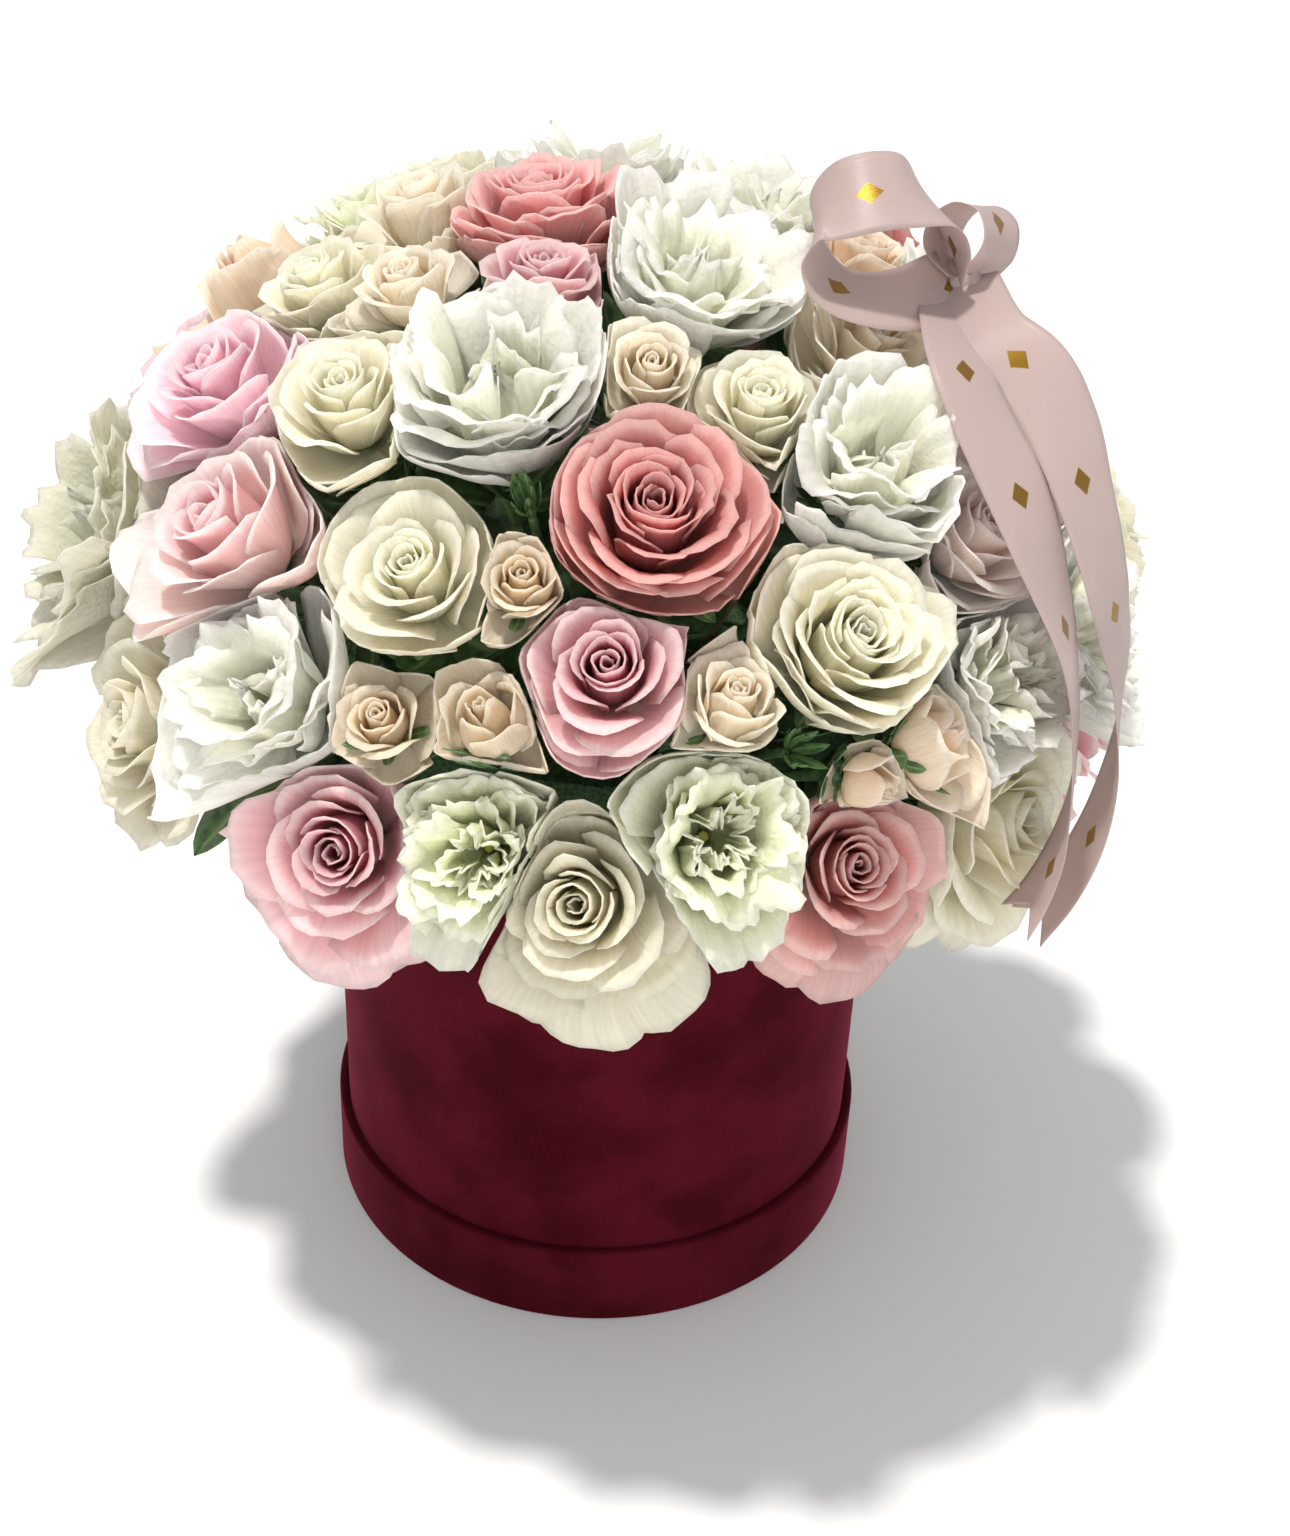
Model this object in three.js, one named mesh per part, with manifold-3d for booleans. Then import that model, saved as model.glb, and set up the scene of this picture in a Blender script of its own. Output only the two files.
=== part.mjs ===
// Flower hat box: a velvet-covered round box that stands in its own lid, filled with wet foam, with a dome of
// roses, spray roses and lisianthus pushed into the foam and a satin ribbon on a pick at the upper right.
// Millimetres, +Z up, front towards -Y. The origin is the middle of the underside of the lid.

import * as THREE from "three";
import { mergeVertices } from "three/addons/utils/BufferGeometryUtils.js";
import Module from "manifold-3d";

const wasm = await Module();
wasm.setup();

// Hat box
const LID_RADIUS = 105;
const LID_HEIGHT = 35;
const LID_WALL = 3.4;
const BOX_RADIUS = 101.2;
const BOX_WALL = 2.8;
const BOX_TOP = 205;
const FLOOR = 2.6; // thickness of the lid's top and of the box's bottom, which lie on each other
const FIT = 0.3; // clearance between pieces that touch
const LINER_WALL = 1;
const LINER_DROP = 4; // how far the liner's edge stays below the box's rim
const ROUND_SIDES = 40;

// Foam and stems
const FOAM_TOP = 252;
const FOAM_SIDES = 24;
const STEM_END = 44; // how near the stems come to the point that they all aim at
const STEM_SIDES = 4;
const ROOT = new THREE.Vector3(0, 0, 178); // the point in the foam that every stem aims at
const SHOOT_AT = 112; // distance from ROOT where the side shoots of a spray leave its stem

// Dome of flowers: an ellipsoid of revolution through the middles of the blooms
const DOME_RADIUS = 172;
const DOME_RISE = 134;
const DOME_MIDDLE = 268;
const PETAL = 0.8; // thickness of a petal
const ROOM = 0.2; // from a petal's face to the border with the next bloom

// Ribbon
const RIBBON_WIDTH = 25;
const RIBBON_THICK = 0.8;
const KNOT_RADIUS = 7;
const PICK_RADIUS = 1.5;

const COLOURS = {
  velvet: "#48121c",
  plastic: "#dfe3e4",
  foam: "#3f5b3c",
  dusky: "#cf8886",
  pink: "#e0a9b2",
  bright: "#eeb3c3",
  salmon: "#d9a09a",
  blush: "#ecd0c8",
  white: "#ebe8d8",
  cream: "#e8dabd",
  peach: "#e9c8ae",
  eustoma: "#ebebe1",
  greenish: "#dde2c4",
  leaf: "#4c6b44",
  wood: "#b99a6b",
  satin: "#e1c3c3",
};

const ROUGHNESS = { velvet: 0.95, plastic: 0.4, foam: 1, leaf: 0.6, wood: 0.8, satin: 0.35 };
const PETAL_ROUGHNESS = 0.65;

// The florist's plan. Each row is a stem: its name, its colour and its heads, each with its kind, azimuth and
// latitude on the dome in degrees, width in mm and, where it stands proud or sits deep, its lift in mm.
// Azimuth 0 faces the front and +90 the right-hand side.
const STEMS = [
  ["rose_dusky_front", "dusky", [["full_rose", 6, 42, 66, 3]]],
  ["rose_dusky_top", "dusky", [["full_rose", -85, 81, 56, 2]]],
  ["rose_pink_top", "pink", [["rose", -26, 72, 38, 0]]],
  ["rose_pink_front", "pink", [["rose", 1, 24, 49, 2]]],
  ["rose_pink_low_left", "pink", [["hanging_rose", -26, -6, 56, 2]]],
  ["rose_salmon_low_right", "salmon", [["hanging_rose", 27, -6, 49, 0]]],
  ["rose_pink_left", "pink", [["rose", -49, 28, 60, 2]]],
  ["rose_bright_left", "bright", [["rose", -69, 40, 56, 3]]],
  ["rose_white_upper_left", "white", [["rose", -43, 48, 46, 3]]],
  ["rose_white_middle", "white", [["rose", -22, 32, 46, 0]]],
  ["rose_white_open", "white", [["full_rose", 28, 25, 60, 2]]],
  ["rose_white_low", "white", [["hanging_rose", -1, -7, 56, 3]]],
  ["rose_cream_upper", "white", [["rose", 26, 54, 42, -2]]],
  ["rose_cream_ribbon", "cream", [["rose", 60, 57, 45, -4]]],
  ["rose_white_low_left", "white", [["rose", -58, -6, 62, 3]]],
  ["rose_blush_right", "blush", [["rose", 53, 31, 48, -6]]],
  ["rose_white_low_right", "white", [["hanging_rose", 53, -13, 60, -2]]],
  ["rose_white_back_left", "white", [["rose", -78, 55, 40, 1]]],
  ["spray_front", "cream", [
    ["spray_rose_with_sepals", -9, 33, 28, 1],
    ["spray_bud", -11, 17, 28, 1],
    ["spray_rose_with_sepals", -22, 14, 26, 0],
  ]],
  ["spray_cream_right", "cream", [["spray_rose", 14, 20, 33, 0]]],
  ["spray_cream_upper", "cream", [["spray_rose", 7, 59, 31, 1]]],
  ["spray_top_left", "cream", [["spray_rose", -58, 63, 33, 0], ["spray_rose", -99, 67, 42, 2]]],
  ["spray_buds_right", "peach", [["spray_bud", 28, 6.6, 24, 3], ["spray_bud", 36, 10, 32, 0]]],
  ["spray_peach_left", "peach", [["spray_bud", -103, 42, 44, 4]]],
  ["spray_peach_ribbon", "peach", [["spray_rose", 92, 63, 42, -3]]],
  ["lisianthus_upper", "eustoma", [["lisianthus", -20, 56, 68, 4]]],
  ["lisianthus_top", "eustoma", [["lisianthus", 28, 73, 62, 3]]],
  ["lisianthus_right", "eustoma", [["lisianthus", 40, 44, 60, 0]]],
  ["lisianthus_low_left", "greenish", [["lisianthus", -11, -1, 50, 2]]],
  ["lisianthus_low_right", "greenish", [["lisianthus", 12, 3, 53, 2]]],
  ["lisianthus_left", "eustoma", [["lisianthus", -37, 12, 58, 2]]],
  ["lisianthus_far_left", "eustoma", [["lisianthus", -83, 10, 72, 6]]],
  ["lisianthus_far_right", "greenish", [["lisianthus", 49, 12, 50, -2], ["lisianthus", 72, 7, 56, -4]]],
  ["lisianthus_crown", "eustoma", [["lisianthus", -170, 71, 56, 5], ["lisianthus", 130, 69, 62, 4]]],
  ["lisianthus_crown_left", "greenish", [["lisianthus", -124, 52, 50, 6]]],
  ["rose_pink_side_left", "pink", [["rose", -103, -14, 66, 3]]],
  ["rose_pink_side_right", "pink", [["rose", 82, -15, 56, 0]]],
  ["rose_blush_side_right", "blush", [["rose", 79, 34, 56, -6]]],
  ["rose_white_back_high", "white", [["full_rose", -146, 45, 68, 2]]],
  ["lisianthus_back_high", "eustoma", [["lisianthus", 177, 44, 70, 2]]],
  ["rose_dusky_back_high", "dusky", [["full_rose", 141, 42, 70, 0]]],
  ["lisianthus_back_right", "eustoma", [["lisianthus", 107, 40, 64, 0], ["lisianthus", 127, 14, 72, 0]]],
  ["rose_white_back_right", "white", [["full_rose", 99, 11, 70, 0]]],
  ["rose_pink_back", "pink", [["full_rose", 154, 15, 72, 0]]],
  ["rose_white_back", "white", [["full_rose", -178, 15, 74, 0]]],
  ["lisianthus_back_left", "eustoma", [["lisianthus", -149, 15, 74, 0]]],
  ["rose_bright_back_left", "bright", [["full_rose", -115, 20, 80, 2]]],
  ["rose_white_back_low_right", "white", [["rose", 111, -14, 66, 0]]],
  ["rose_salmon_back_low", "salmon", [["rose", 140, -14, 68, 0]]],
  ["rose_white_back_low", "white", [["rose", 169, -14, 68, 0]]],
  ["rose_pink_back_low", "pink", [["rose", -162, -14, 68, 0]]],
  ["rose_white_back_low_left", "white", [["rose", -133, -14, 70, 0]]],
  ["leaves_front", "leaf", [["sprig", -11, 43, 15, -6]]],
  ["leaves_right", "leaf", [["sprig", 21, 12, 14, -5]]],
];

// Each kind of head: its stem's radius and, from the outside in, its whorls of petals. A whorl has its number
// of petals, its reach and the height of its rim over the bloom's middle, as shares of the head's radius. The
// outer petals would open wider than the room that the neighbours leave them, so they press on each other.
const KINDS = {
  full_rose: { stem: 2.6, whorls: [[5, 1.5, -0.12], [4, 0.98, 0.14], [3, 0.6, 0.28]], heart: 0.3 },
  rose: { stem: 2.5, whorls: [[5, 1.46, -0.08], [4, 0.8, 0.24]], heart: 0.36 },
  hanging_rose: { stem: 2.5, whorls: [[5, 1.3, -0.06], [3, 0.76, 0.26]], heart: 0.36, guards: 2 },
  spray_rose: { stem: 1.8, whorls: [[4, 1.34, -0.04], [3, 0.74, 0.26]], heart: 0.36 },
  spray_rose_with_sepals: { stem: 1.8, whorls: [[4, 1.3, -0.04], [3, 0.72, 0.26]], heart: 0.36, sepals: 2 },
  spray_bud: { stem: 1.8, whorls: [[3, 0.95, 0.3]], heart: 0.5, sepals: 3 },
  lisianthus: { stem: 2, whorls: [[5, 1.5, -0.04], [3, 0.84, 0.26]], ruffled: true, eye: 0.1 },
  sprig: { stem: 1.6, leaves: 3 },
};

// Round a petal's rim: share of the way round it, reach and height. The first is the cleft beside it.
const SMOOTH_RIM = [[0, 0.76, -0.14], [0.3, 1.03, -0.02], [0.7, 0.97, 0.03]];
const RUFFLED_RIM = [[0, 0.78, -0.16], [0.25, 1.04, 0.1], [0.5, 0.9, -0.1], [0.75, 1.02, 0.12]];

const HEART_REACH = 0.34;
const GUARD_REACH = 1.75; // length of a rose's loose outer petals, in radii
const SEPAL_REACH = 1.15;
const NECK = 0.92; // depth of the petals' foot under the bloom's middle, in radii
const CALYX = 6; // length of the calyx under it
const SQUEEZE_FROM = 0.6; // share of the way to a border from which petals give way

// A small generator of repeatable random numbers between 0 and 1
function seeded(seed) {
  let state = seed * 7919 + 12345;
  return () => {
    state = (Math.imul(state, 1103515245) + 12345) & 0x7fffffff;
    return state / 0x7fffffff;
  };
}

function onDome(azimuth, latitude, lift = 0) {
  const a = THREE.MathUtils.degToRad(azimuth);
  const l = THREE.MathUtils.degToRad(latitude);
  const across = (DOME_RADIUS + lift) * Math.cos(l);
  return new THREE.Vector3(
    across * Math.sin(a),
    -across * Math.cos(a),
    DOME_MIDDLE + (DOME_RISE + lift) * Math.sin(l),
  );
}

// A solid from a closed geometry: corners merged, faces without area left out
function solidOf(geometry) {
  const bare = geometry.clone();
  bare.deleteAttribute("normal");
  bare.deleteAttribute("uv");
  const merged = mergeVertices(bare, 1e-4);
  const index = merged.index.array;
  const faces = [];
  for (let i = 0; i < index.length; i += 3) {
    const [a, b, c] = [index[i], index[i + 1], index[i + 2]];
    if (a !== b && b !== c && c !== a) faces.push(a, b, c);
  }
  const mesh = new wasm.Mesh({
    numProp: 3,
    vertProperties: new Float32Array(merged.attributes.position.array),
    triVerts: new Uint32Array(faces),
  });
  return new wasm.Manifold(mesh);
}

// The largest closed skin of a joined solid. A hollow that the joining sealed is filled that way, and a loose
// scrap is dropped.
function largestSkin(mesh) {
  const parent = Array.from({ length: mesh.vertProperties.length / 3 }, (_, i) => i);
  const find = (i) => {
    while (parent[i] !== i) {
      parent[i] = parent[parent[i]];
      i = parent[i];
    }
    return i;
  };
  const tri = mesh.triVerts;
  for (let i = 0; i < tri.length; i += 3) {
    parent[find(tri[i])] = find(tri[i + 1]);
    parent[find(tri[i + 1])] = find(tri[i + 2]);
  }
  const groups = new Map();
  for (let i = 0; i < tri.length; i += 3) {
    const root = find(tri[i]);
    if (!groups.has(root)) groups.set(root, []);
    groups.get(root).push(tri[i], tri[i + 1], tri[i + 2]);
  }
  const corner = (i) => new THREE.Vector3().fromArray(mesh.vertProperties, 3 * i);
  const volume = (list) => {
    let sum = 0;
    for (let i = 0; i < list.length; i += 3) {
      sum += corner(list[i]).dot(corner(list[i + 1]).cross(corner(list[i + 2])));
    }
    return sum / 6;
  };
  return [...groups.values()].reduce((best, list) => (volume(list) > volume(best) ? list : best));
}

function meshOf(solid, name, colour) {
  const mesh = solid.getMesh();
  const geometry = new THREE.BufferGeometry();
  geometry.setAttribute("position", new THREE.BufferAttribute(new Float32Array(mesh.vertProperties), 3));
  geometry.setIndex(largestSkin(mesh));
  const material = new THREE.MeshStandardMaterial({
    color: COLOURS[colour],
    roughness: ROUGHNESS[colour] ?? PETAL_ROUGHNESS,
    metalness: 0,
    side: THREE.DoubleSide,
  });
  const made = new THREE.Mesh(geometry, material);
  made.name = name;
  return made;
}

// A solid turned about +Z from [radius, height] pairs that start and end on the axis
function turned(profile, sides) {
  const points = profile.map(([radius, height]) => new THREE.Vector2(radius, height));
  const geometry = new THREE.LatheGeometry(points, sides);
  geometry.rotateX(Math.PI / 2);
  return geometry;
}

// Puts a geometry made about +Z along a direction from a point
function aimed(geometry, origin, direction) {
  const turn = new THREE.Quaternion().setFromUnitVectors(new THREE.Vector3(0, 0, 1), direction);
  geometry.applyQuaternion(turn);
  geometry.translate(origin.x, origin.y, origin.z);
  return geometry;
}

// A closed blade of even thickness from rows of points on its middle surface. Rows may hold different numbers
// of points, and both faces are split into the same triangles.
function blade(rows, thickness) {
  const middle = rows.flat();
  const starts = rows.map((_, k) => rows.slice(0, k).reduce((sum, row) => sum + row.length, 0));
  const faces = [];
  for (let k = 0; k + 1 < rows.length; k++) {
    const [m, n] = [rows[k].length, rows[k + 1].length];
    let [i, j] = [0, 0];
    while (i < m - 1 || j < n - 1) {
      const nextLow = (i + 1) / Math.max(m - 1, 0.5);
      const nextHigh = (j + 1) / Math.max(n - 1, 0.5);
      if (j < n - 1 && (i === m - 1 || nextHigh <= nextLow)) {
        faces.push([starts[k] + i, starts[k + 1] + j + 1, starts[k + 1] + j]);
        j++;
      } else {
        faces.push([starts[k] + i, starts[k] + i + 1, starts[k + 1] + j]);
        i++;
      }
    }
  }
  const normals = middle.map(() => new THREE.Vector3());
  for (const [a, b, c] of faces) {
    const ab = middle[b].clone().sub(middle[a]);
    const normal = ab.cross(middle[c].clone().sub(middle[a]));
    for (const corner of [a, b, c]) normals[corner].add(normal);
  }
  const count = middle.length;
  const positions = [];
  for (const side of [0.5, -0.5]) {
    middle.forEach((point, i) => {
      const out = normals[i].clone().normalize().multiplyScalar(side * thickness);
      positions.push(...point.clone().add(out).toArray());
    });
  }
  const index = [];
  const edges = new Set(faces.flatMap(([a, b, c]) => [`${a},${b}`, `${b},${c}`, `${c},${a}`]));
  for (const [a, b, c] of faces) {
    index.push(a, b, c, count + a, count + c, count + b);
    for (const [from, to] of [[a, b], [b, c], [c, a]]) {
      if (!edges.has(`${to},${from}`)) {
        index.push(to, from, count + from, to, count + from, count + to);
      }
    }
  }
  const geometry = new THREE.BufferGeometry();
  geometry.setAttribute("position", new THREE.Float32BufferAttribute(positions, 3));
  geometry.setIndex(index);
  return geometry;
}

// Every head with its place, its direction from ROOT and its half width
const heads = [];
for (const [stem, , list] of STEMS) {
  for (const [kind, azimuth, latitude, width, lift] of list) {
    const middle = onDome(azimuth, latitude, lift);
    const out = middle.clone().sub(ROOT);
    const reach = out.length();
    heads.push({ stem, kind, middle, reach, out: out.normalize(), radius: width / 2 });
  }
}

const KNOT = new THREE.Vector3(106, -29, 392);
const PICK_SITE = {
  middle: KNOT,
  out: KNOT.clone().sub(ROOT).normalize(),
  reach: KNOT.distanceTo(ROOT),
  radius: 4,
};

// The borders of a head: planes through ROOT that part it from each neighbour, set by the two sizes
function bordersOf(head) {
  const weight = (h) => Math.hypot(h.reach, h.radius) / h.reach;
  const borders = [];
  for (const other of [...heads, PICK_SITE]) {
    if (other === head || other.out.dot(head.out) < 0.2) continue;
    const normal = other.out.clone().multiplyScalar(weight(other));
    normal.sub(head.out.clone().multiplyScalar(weight(head))).normalize();
    borders.push({ normal, half: -head.out.dot(normal) });
  }
  return borders;
}

// Moves a petal's point so that it gives way smoothly before its neighbours and never crosses a border
function pressed(point, head, borders, thickness) {
  const p = point.clone().sub(ROOT);
  for (let pass = 0; pass < 24; pass++) {
    for (const { normal, half } of borders) {
      const wide = half * Math.max(p.dot(head.out), 1);
      const limit = wide - ROOM - thickness / 2;
      const way = p.dot(normal) + wide;
      const from = SQUEEZE_FROM * limit;
      if (pass === 0 && way > from) {
        const given = from + (limit - from) * Math.tanh((way - from) / (limit - from));
        p.addScaledVector(normal, given - way);
      } else if (way > limit) {
        p.addScaledVector(normal, (limit - way) * 1.02);
      }
    }
  }
  return p.add(ROOT);
}

// The frame of a head: out of the dome, and two directions across it, the second pointing down the dome
function frameOf(head) {
  const down = new THREE.Vector3(0, 0, -1);
  down.addScaledVector(head.out, -down.dot(head.out)).normalize();
  const side = new THREE.Vector3().crossVectors(head.out, down);
  const at = (angle, radius, height) => {
    const p = head.middle.clone();
    p.addScaledVector(down, head.radius * radius * Math.cos(angle));
    p.addScaledVector(side, head.radius * radius * Math.sin(angle));
    return p.addScaledVector(head.out, head.radius * height);
  };
  return at;
}

// A ring of points round a head's axis, each with its angle
function ring(count, place, start = 0) {
  return Array.from({ length: count }, (_, i) => {
    const angle = start + (i / count) * 2 * Math.PI;
    return { angle, p: place(angle) };
  });
}

// One closed skin over rings of points, from a point at one end to a point at the other. Rings may hold
// different numbers of points: each band is stitched by angle.
function lofted(rings) {
  const full = 2 * Math.PI;
  const sorted = rings.map((points) => points
    .map(({ angle, p }) => ({ angle: ((angle % full) + full) % full, p }))
    .sort((a, b) => a.angle - b.angle));
  const positions = [];
  const starts = [];
  for (const points of sorted) {
    starts.push(positions.length / 3);
    for (const { p } of points) positions.push(p.x, p.y, p.z);
  }
  const index = [];
  for (let k = 0; k + 1 < sorted.length; k++) {
    const [low, high] = [sorted[k], sorted[k + 1]];
    const [m, n] = [low.length, high.length];
    const lowAt = (i) => starts[k] + (i % m);
    const highAt = (j) => starts[k + 1] + (j % n);
    const angleOf = (points, i) => points[i % points.length].angle + (i < points.length ? 0 : full);
    let [i, j] = [m === 1 ? 1 : 0, n === 1 ? 1 : 0];
    while (i < m || j < n) {
      if (j === n || (i < m && angleOf(low, i + 1) <= angleOf(high, j + 1))) {
        index.push(lowAt(i), lowAt(i + 1), highAt(j));
        i++;
      } else {
        index.push(lowAt(i), highAt(j + 1), highAt(j));
        j++;
      }
    }
  }
  const geometry = new THREE.BufferGeometry();
  geometry.setAttribute("position", new THREE.Float32BufferAttribute(positions, 3));
  geometry.setIndex(index);
  return geometry;
}

// The two edges of a whorl's rim, a petal's thickness apart. An upright petal is thick across its rim and a
// flat one from below to above.
function rimRings(at, press, [petals, reach, height], shape, start, random) {
  const under = [];
  const over = [];
  for (let petal = 0; petal < petals; petal++) {
    const size = 1 + 0.1 * (random() - 0.5);
    const lift = 0.1 * (random() - 0.5);
    for (const [share, radius, rise] of shape) {
      const angle = start + ((petal + share) / petals) * 2 * Math.PI;
      const middle = press(at(angle, reach * radius * size, height + rise + lift));
      const inward = at(angle, 0, height + 0.6).sub(at(angle, reach, height)).normalize();
      under.push({ angle, p: middle.clone().addScaledVector(inward, -PETAL / 2) });
      over.push({ angle, p: middle.clone().addScaledVector(inward, PETAL / 2) });
    }
  }
  return [under, over];
}

// A head in one skin: up the stem, out under the petals, over each whorl's rim and down into the furrow
// behind it, and up to the heart
function flowerSkin(head, kind, at, press, from, random) {
  const r = head.radius;
  const flat = (count, radius, height) => ring(count, (angle) => at(angle, radius, height));
  const rings = [flat(1, 0, from / r), flat(STEM_SIDES, kind.stem / r, from / r)];
  rings.push(flat(STEM_SIDES, kind.stem / r, -NECK - CALYX / r));
  rings.push(flat(STEM_SIDES, Math.max(0.2, (kind.stem + 1) / r), -NECK));
  const shape = kind.ruffled ? RUFFLED_RIM : SMOOTH_RIM;
  let start = random() * 2 * Math.PI;
  kind.whorls.forEach((whorl, layer) => {
    const [petals, reach, height] = whorl;
    if (layer === 0) {
      rings.push(ring(2 * petals, (angle) => {
        const bulge = 0.78 + 0.06 * Math.cos(petals * (angle - start) - Math.PI);
        return press(at(angle, reach * bulge, height - 0.46));
      }, start));
    }
    rings.push(...rimRings(at, press, whorl, shape, start, random));
    const inner = kind.whorls[layer + 1]?.[1] ?? HEART_REACH;
    rings.push(ring(2 * petals, (angle) => press(at(angle, 0.86 * inner, height - 0.26)), start));
    start += Math.PI / petals + 0.3;
  });
  if (kind.eye) {
    rings.push(flat(4, kind.eye, -0.12), flat(1, 0, 0.1));
  } else {
    const spiral = (angle, radius, height) => {
      const turn = (((angle - start) % (2 * Math.PI)) + 2 * Math.PI) % (2 * Math.PI) / (2 * Math.PI);
      return press(at(angle, radius * (0.7 + 0.45 * turn), height - 0.1 * turn));
    };
    rings.push(ring(6, (angle) => spiral(angle, 0.28, kind.heart), start));
    rings.push(ring(6, (angle) => spiral(angle, 0.17, kind.heart - 0.14), start));
    rings.push(flat(1, 0, kind.heart - 0.02));
  }
  return lofted(rings);
}

// A narrow sepal or a leaflet with cut edges
function leafRows(at, angle, reach, height, half, cuts) {
  const rows = [[at(angle, 0.08, -NECK)]];
  for (let k = 1; k <= cuts; k++) {
    const t = k / (cuts + 1);
    const wide = half * Math.sin(Math.PI * Math.min(t * 0.9 + 0.1, 1)) * (k % 2 ? 1 : 0.72);
    const radius = 0.08 + reach * t;
    const rise = -NECK + (height + NECK) * t;
    const turn = wide / Math.max(radius, 0.3);
    rows.push([-1, 0, 1].map((s) => at(angle + s * turn, radius, rise - 0.05 * s * s)));
  }
  rows.push([at(angle, reach + 0.08, height)]);
  return rows;
}

// A straight rod with a stem's sides along a head's axis, between two distances from the head's middle
function rod(head, radius, low, high) {
  const at = frameOf(head);
  const r = head.radius;
  const end = (height, wide) => ring(wide ? STEM_SIDES : 1, (angle) => at(angle, wide / r, height / r));
  return solidOf(lofted([end(low, 0), end(low, radius), end(high, radius), end(high, 0)]));
}

function headSolid(head, number, from) {
  const kind = KINDS[head.kind];
  const borders = bordersOf(head);
  const at = frameOf(head);
  const press = (p) => pressed(p, head, borders, PETAL);
  const random = seeded(number + 1);
  let solid = kind.leaves
    ? rod(head, kind.stem, from, -0.25 * head.radius)
    : solidOf(flowerSkin(head, kind, at, press, from, random));
  const grow = (rows) => {
    solid = solid.add(solidOf(blade(rows.map((row) => row.map(press)), PETAL)));
  };
  for (let i = 0; i < (kind.guards ?? 0); i++) {
    const angle = (i - 0.5) * 1.15 + (random() - 0.5) * 0.3;
    grow([
      [at(angle, 0.1, -NECK + 0.12)],
      [-1, 0, 1].map((s) => at(angle + s * 0.6, 1, -0.62)),
      [-1, 0, 1].map((s) => at(angle + s * 0.36, GUARD_REACH - 0.25 * s * s, -0.62)),
    ]);
  }
  const start = random() * 2 * Math.PI;
  for (let i = 0; i < (kind.sepals ?? 0); i++) {
    const angle = start + (i / kind.sepals) * 2 * Math.PI;
    grow(leafRows(at, angle, SEPAL_REACH, -0.35 + 0.2 * random(), 0.24, 1));
  }
  for (let i = 0; i < (kind.leaves ?? 0); i++) {
    const angle = start + (i / kind.leaves) * 2 * Math.PI;
    grow(leafRows(at, angle, 1.1, 1.1 + 0.3 * random(), 0.5, 3));
  }
  return solid;
}

// A side shoot from the foot of a head to the stem of its spray
function shootSolid(head, main) {
  const foot = head.middle.clone().addScaledVector(head.out, -NECK * head.radius - CALYX);
  const joint = ROOT.clone().addScaledVector(main.out, SHOOT_AT);
  const along = foot.clone().sub(joint);
  const length = along.length() + 1;
  const radius = KINDS[head.kind].stem * 0.85;
  const shoot = turned([[0, 0], [radius, 0], [radius, length], [0, length]], STEM_SIDES);
  return solidOf(aimed(shoot, joint, along.normalize()));
}

function flowers() {
  const made = [];
  let number = 0;
  for (const [name, colour] of STEMS) {
    const own = heads.filter((head) => head.stem === name);
    const main = own[0];
    let solid = null;
    for (const head of own) {
      const from = head === main ? STEM_END - head.reach : -NECK * head.radius - CALYX - 2;
      let piece = headSolid(head, number++, from);
      if (head !== main) piece = piece.add(shootSolid(head, main));
      solid = solid ? solid.add(piece) : piece;
    }
    made.push(meshOf(solid, name, colour));
  }
  return made;
}

function boxBody() {
  const [outer, inner] = [BOX_RADIUS, BOX_RADIUS - BOX_WALL];
  const low = FLOOR + FIT;
  const profile = [
    [0, low], [outer - 1, low], [outer, low + 1], [outer, BOX_TOP - 1.2], [outer - 1.2, BOX_TOP],
    [inner + 0.6, BOX_TOP], [inner, BOX_TOP - 0.8], [inner, low + FLOOR], [0, low + FLOOR],
  ];
  return meshOf(solidOf(turned(profile, ROUND_SIDES)), "box_body", "velvet");
}

function lid() {
  const [outer, inner] = [LID_RADIUS, LID_RADIUS - LID_WALL];
  const profile = [
    [0, 0], [outer - 1.5, 0], [outer, 1.5], [outer, LID_HEIGHT - 1.6], [outer - 1.4, LID_HEIGHT],
    [inner + 0.6, LID_HEIGHT], [inner, LID_HEIGHT - 0.8], [inner, FLOOR], [0, FLOOR],
  ];
  return meshOf(solidOf(turned(profile, ROUND_SIDES)), "box_lid", "velvet");
}

const LINER_OUTER = BOX_RADIUS - BOX_WALL - FIT - 0.3;
const LINER_LOW = 2 * FLOOR + 2 * FIT;

function liner() {
  const [outer, inner] = [LINER_OUTER, LINER_OUTER - LINER_WALL];
  const top = BOX_TOP - LINER_DROP;
  const profile = [
    [0, LINER_LOW], [outer, LINER_LOW], [outer, top], [inner, top],
    [inner, LINER_LOW + LINER_WALL], [0, LINER_LOW + LINER_WALL],
  ];
  return meshOf(solidOf(turned(profile, ROUND_SIDES)), "liner", "plastic");
}

// A plain hole with the same sides as the stem, turned the same way, and a little wider
function holeFor(head, radius) {
  const wide = radius + FIT / Math.cos(Math.PI / STEM_SIDES);
  return rod(head, wide, STEM_END - FIT - head.reach, SHOOT_AT + 20 - head.reach);
}

function foam() {
  const radius = LINER_OUTER - LINER_WALL - FIT - 0.3;
  const low = LINER_LOW + LINER_WALL + FIT;
  const profile = [
    [0, low], [radius, low], [radius, BOX_TOP - 6], [0.86 * radius, 0.45 * BOX_TOP + 0.55 * FOAM_TOP],
    [0.5 * radius, FOAM_TOP - 6], [0, FOAM_TOP],
  ];
  let solid = solidOf(turned(profile, FOAM_SIDES));
  const mains = STEMS.map(([name]) => heads.find((head) => head.stem === name));
  for (const head of mains) solid = solid.subtract(holeFor(head, KINDS[head.kind].stem));
  solid = solid.subtract(holeFor(PICK_SITE, PICK_RADIUS));
  return meshOf(solid, "foam", "foam");
}

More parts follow.
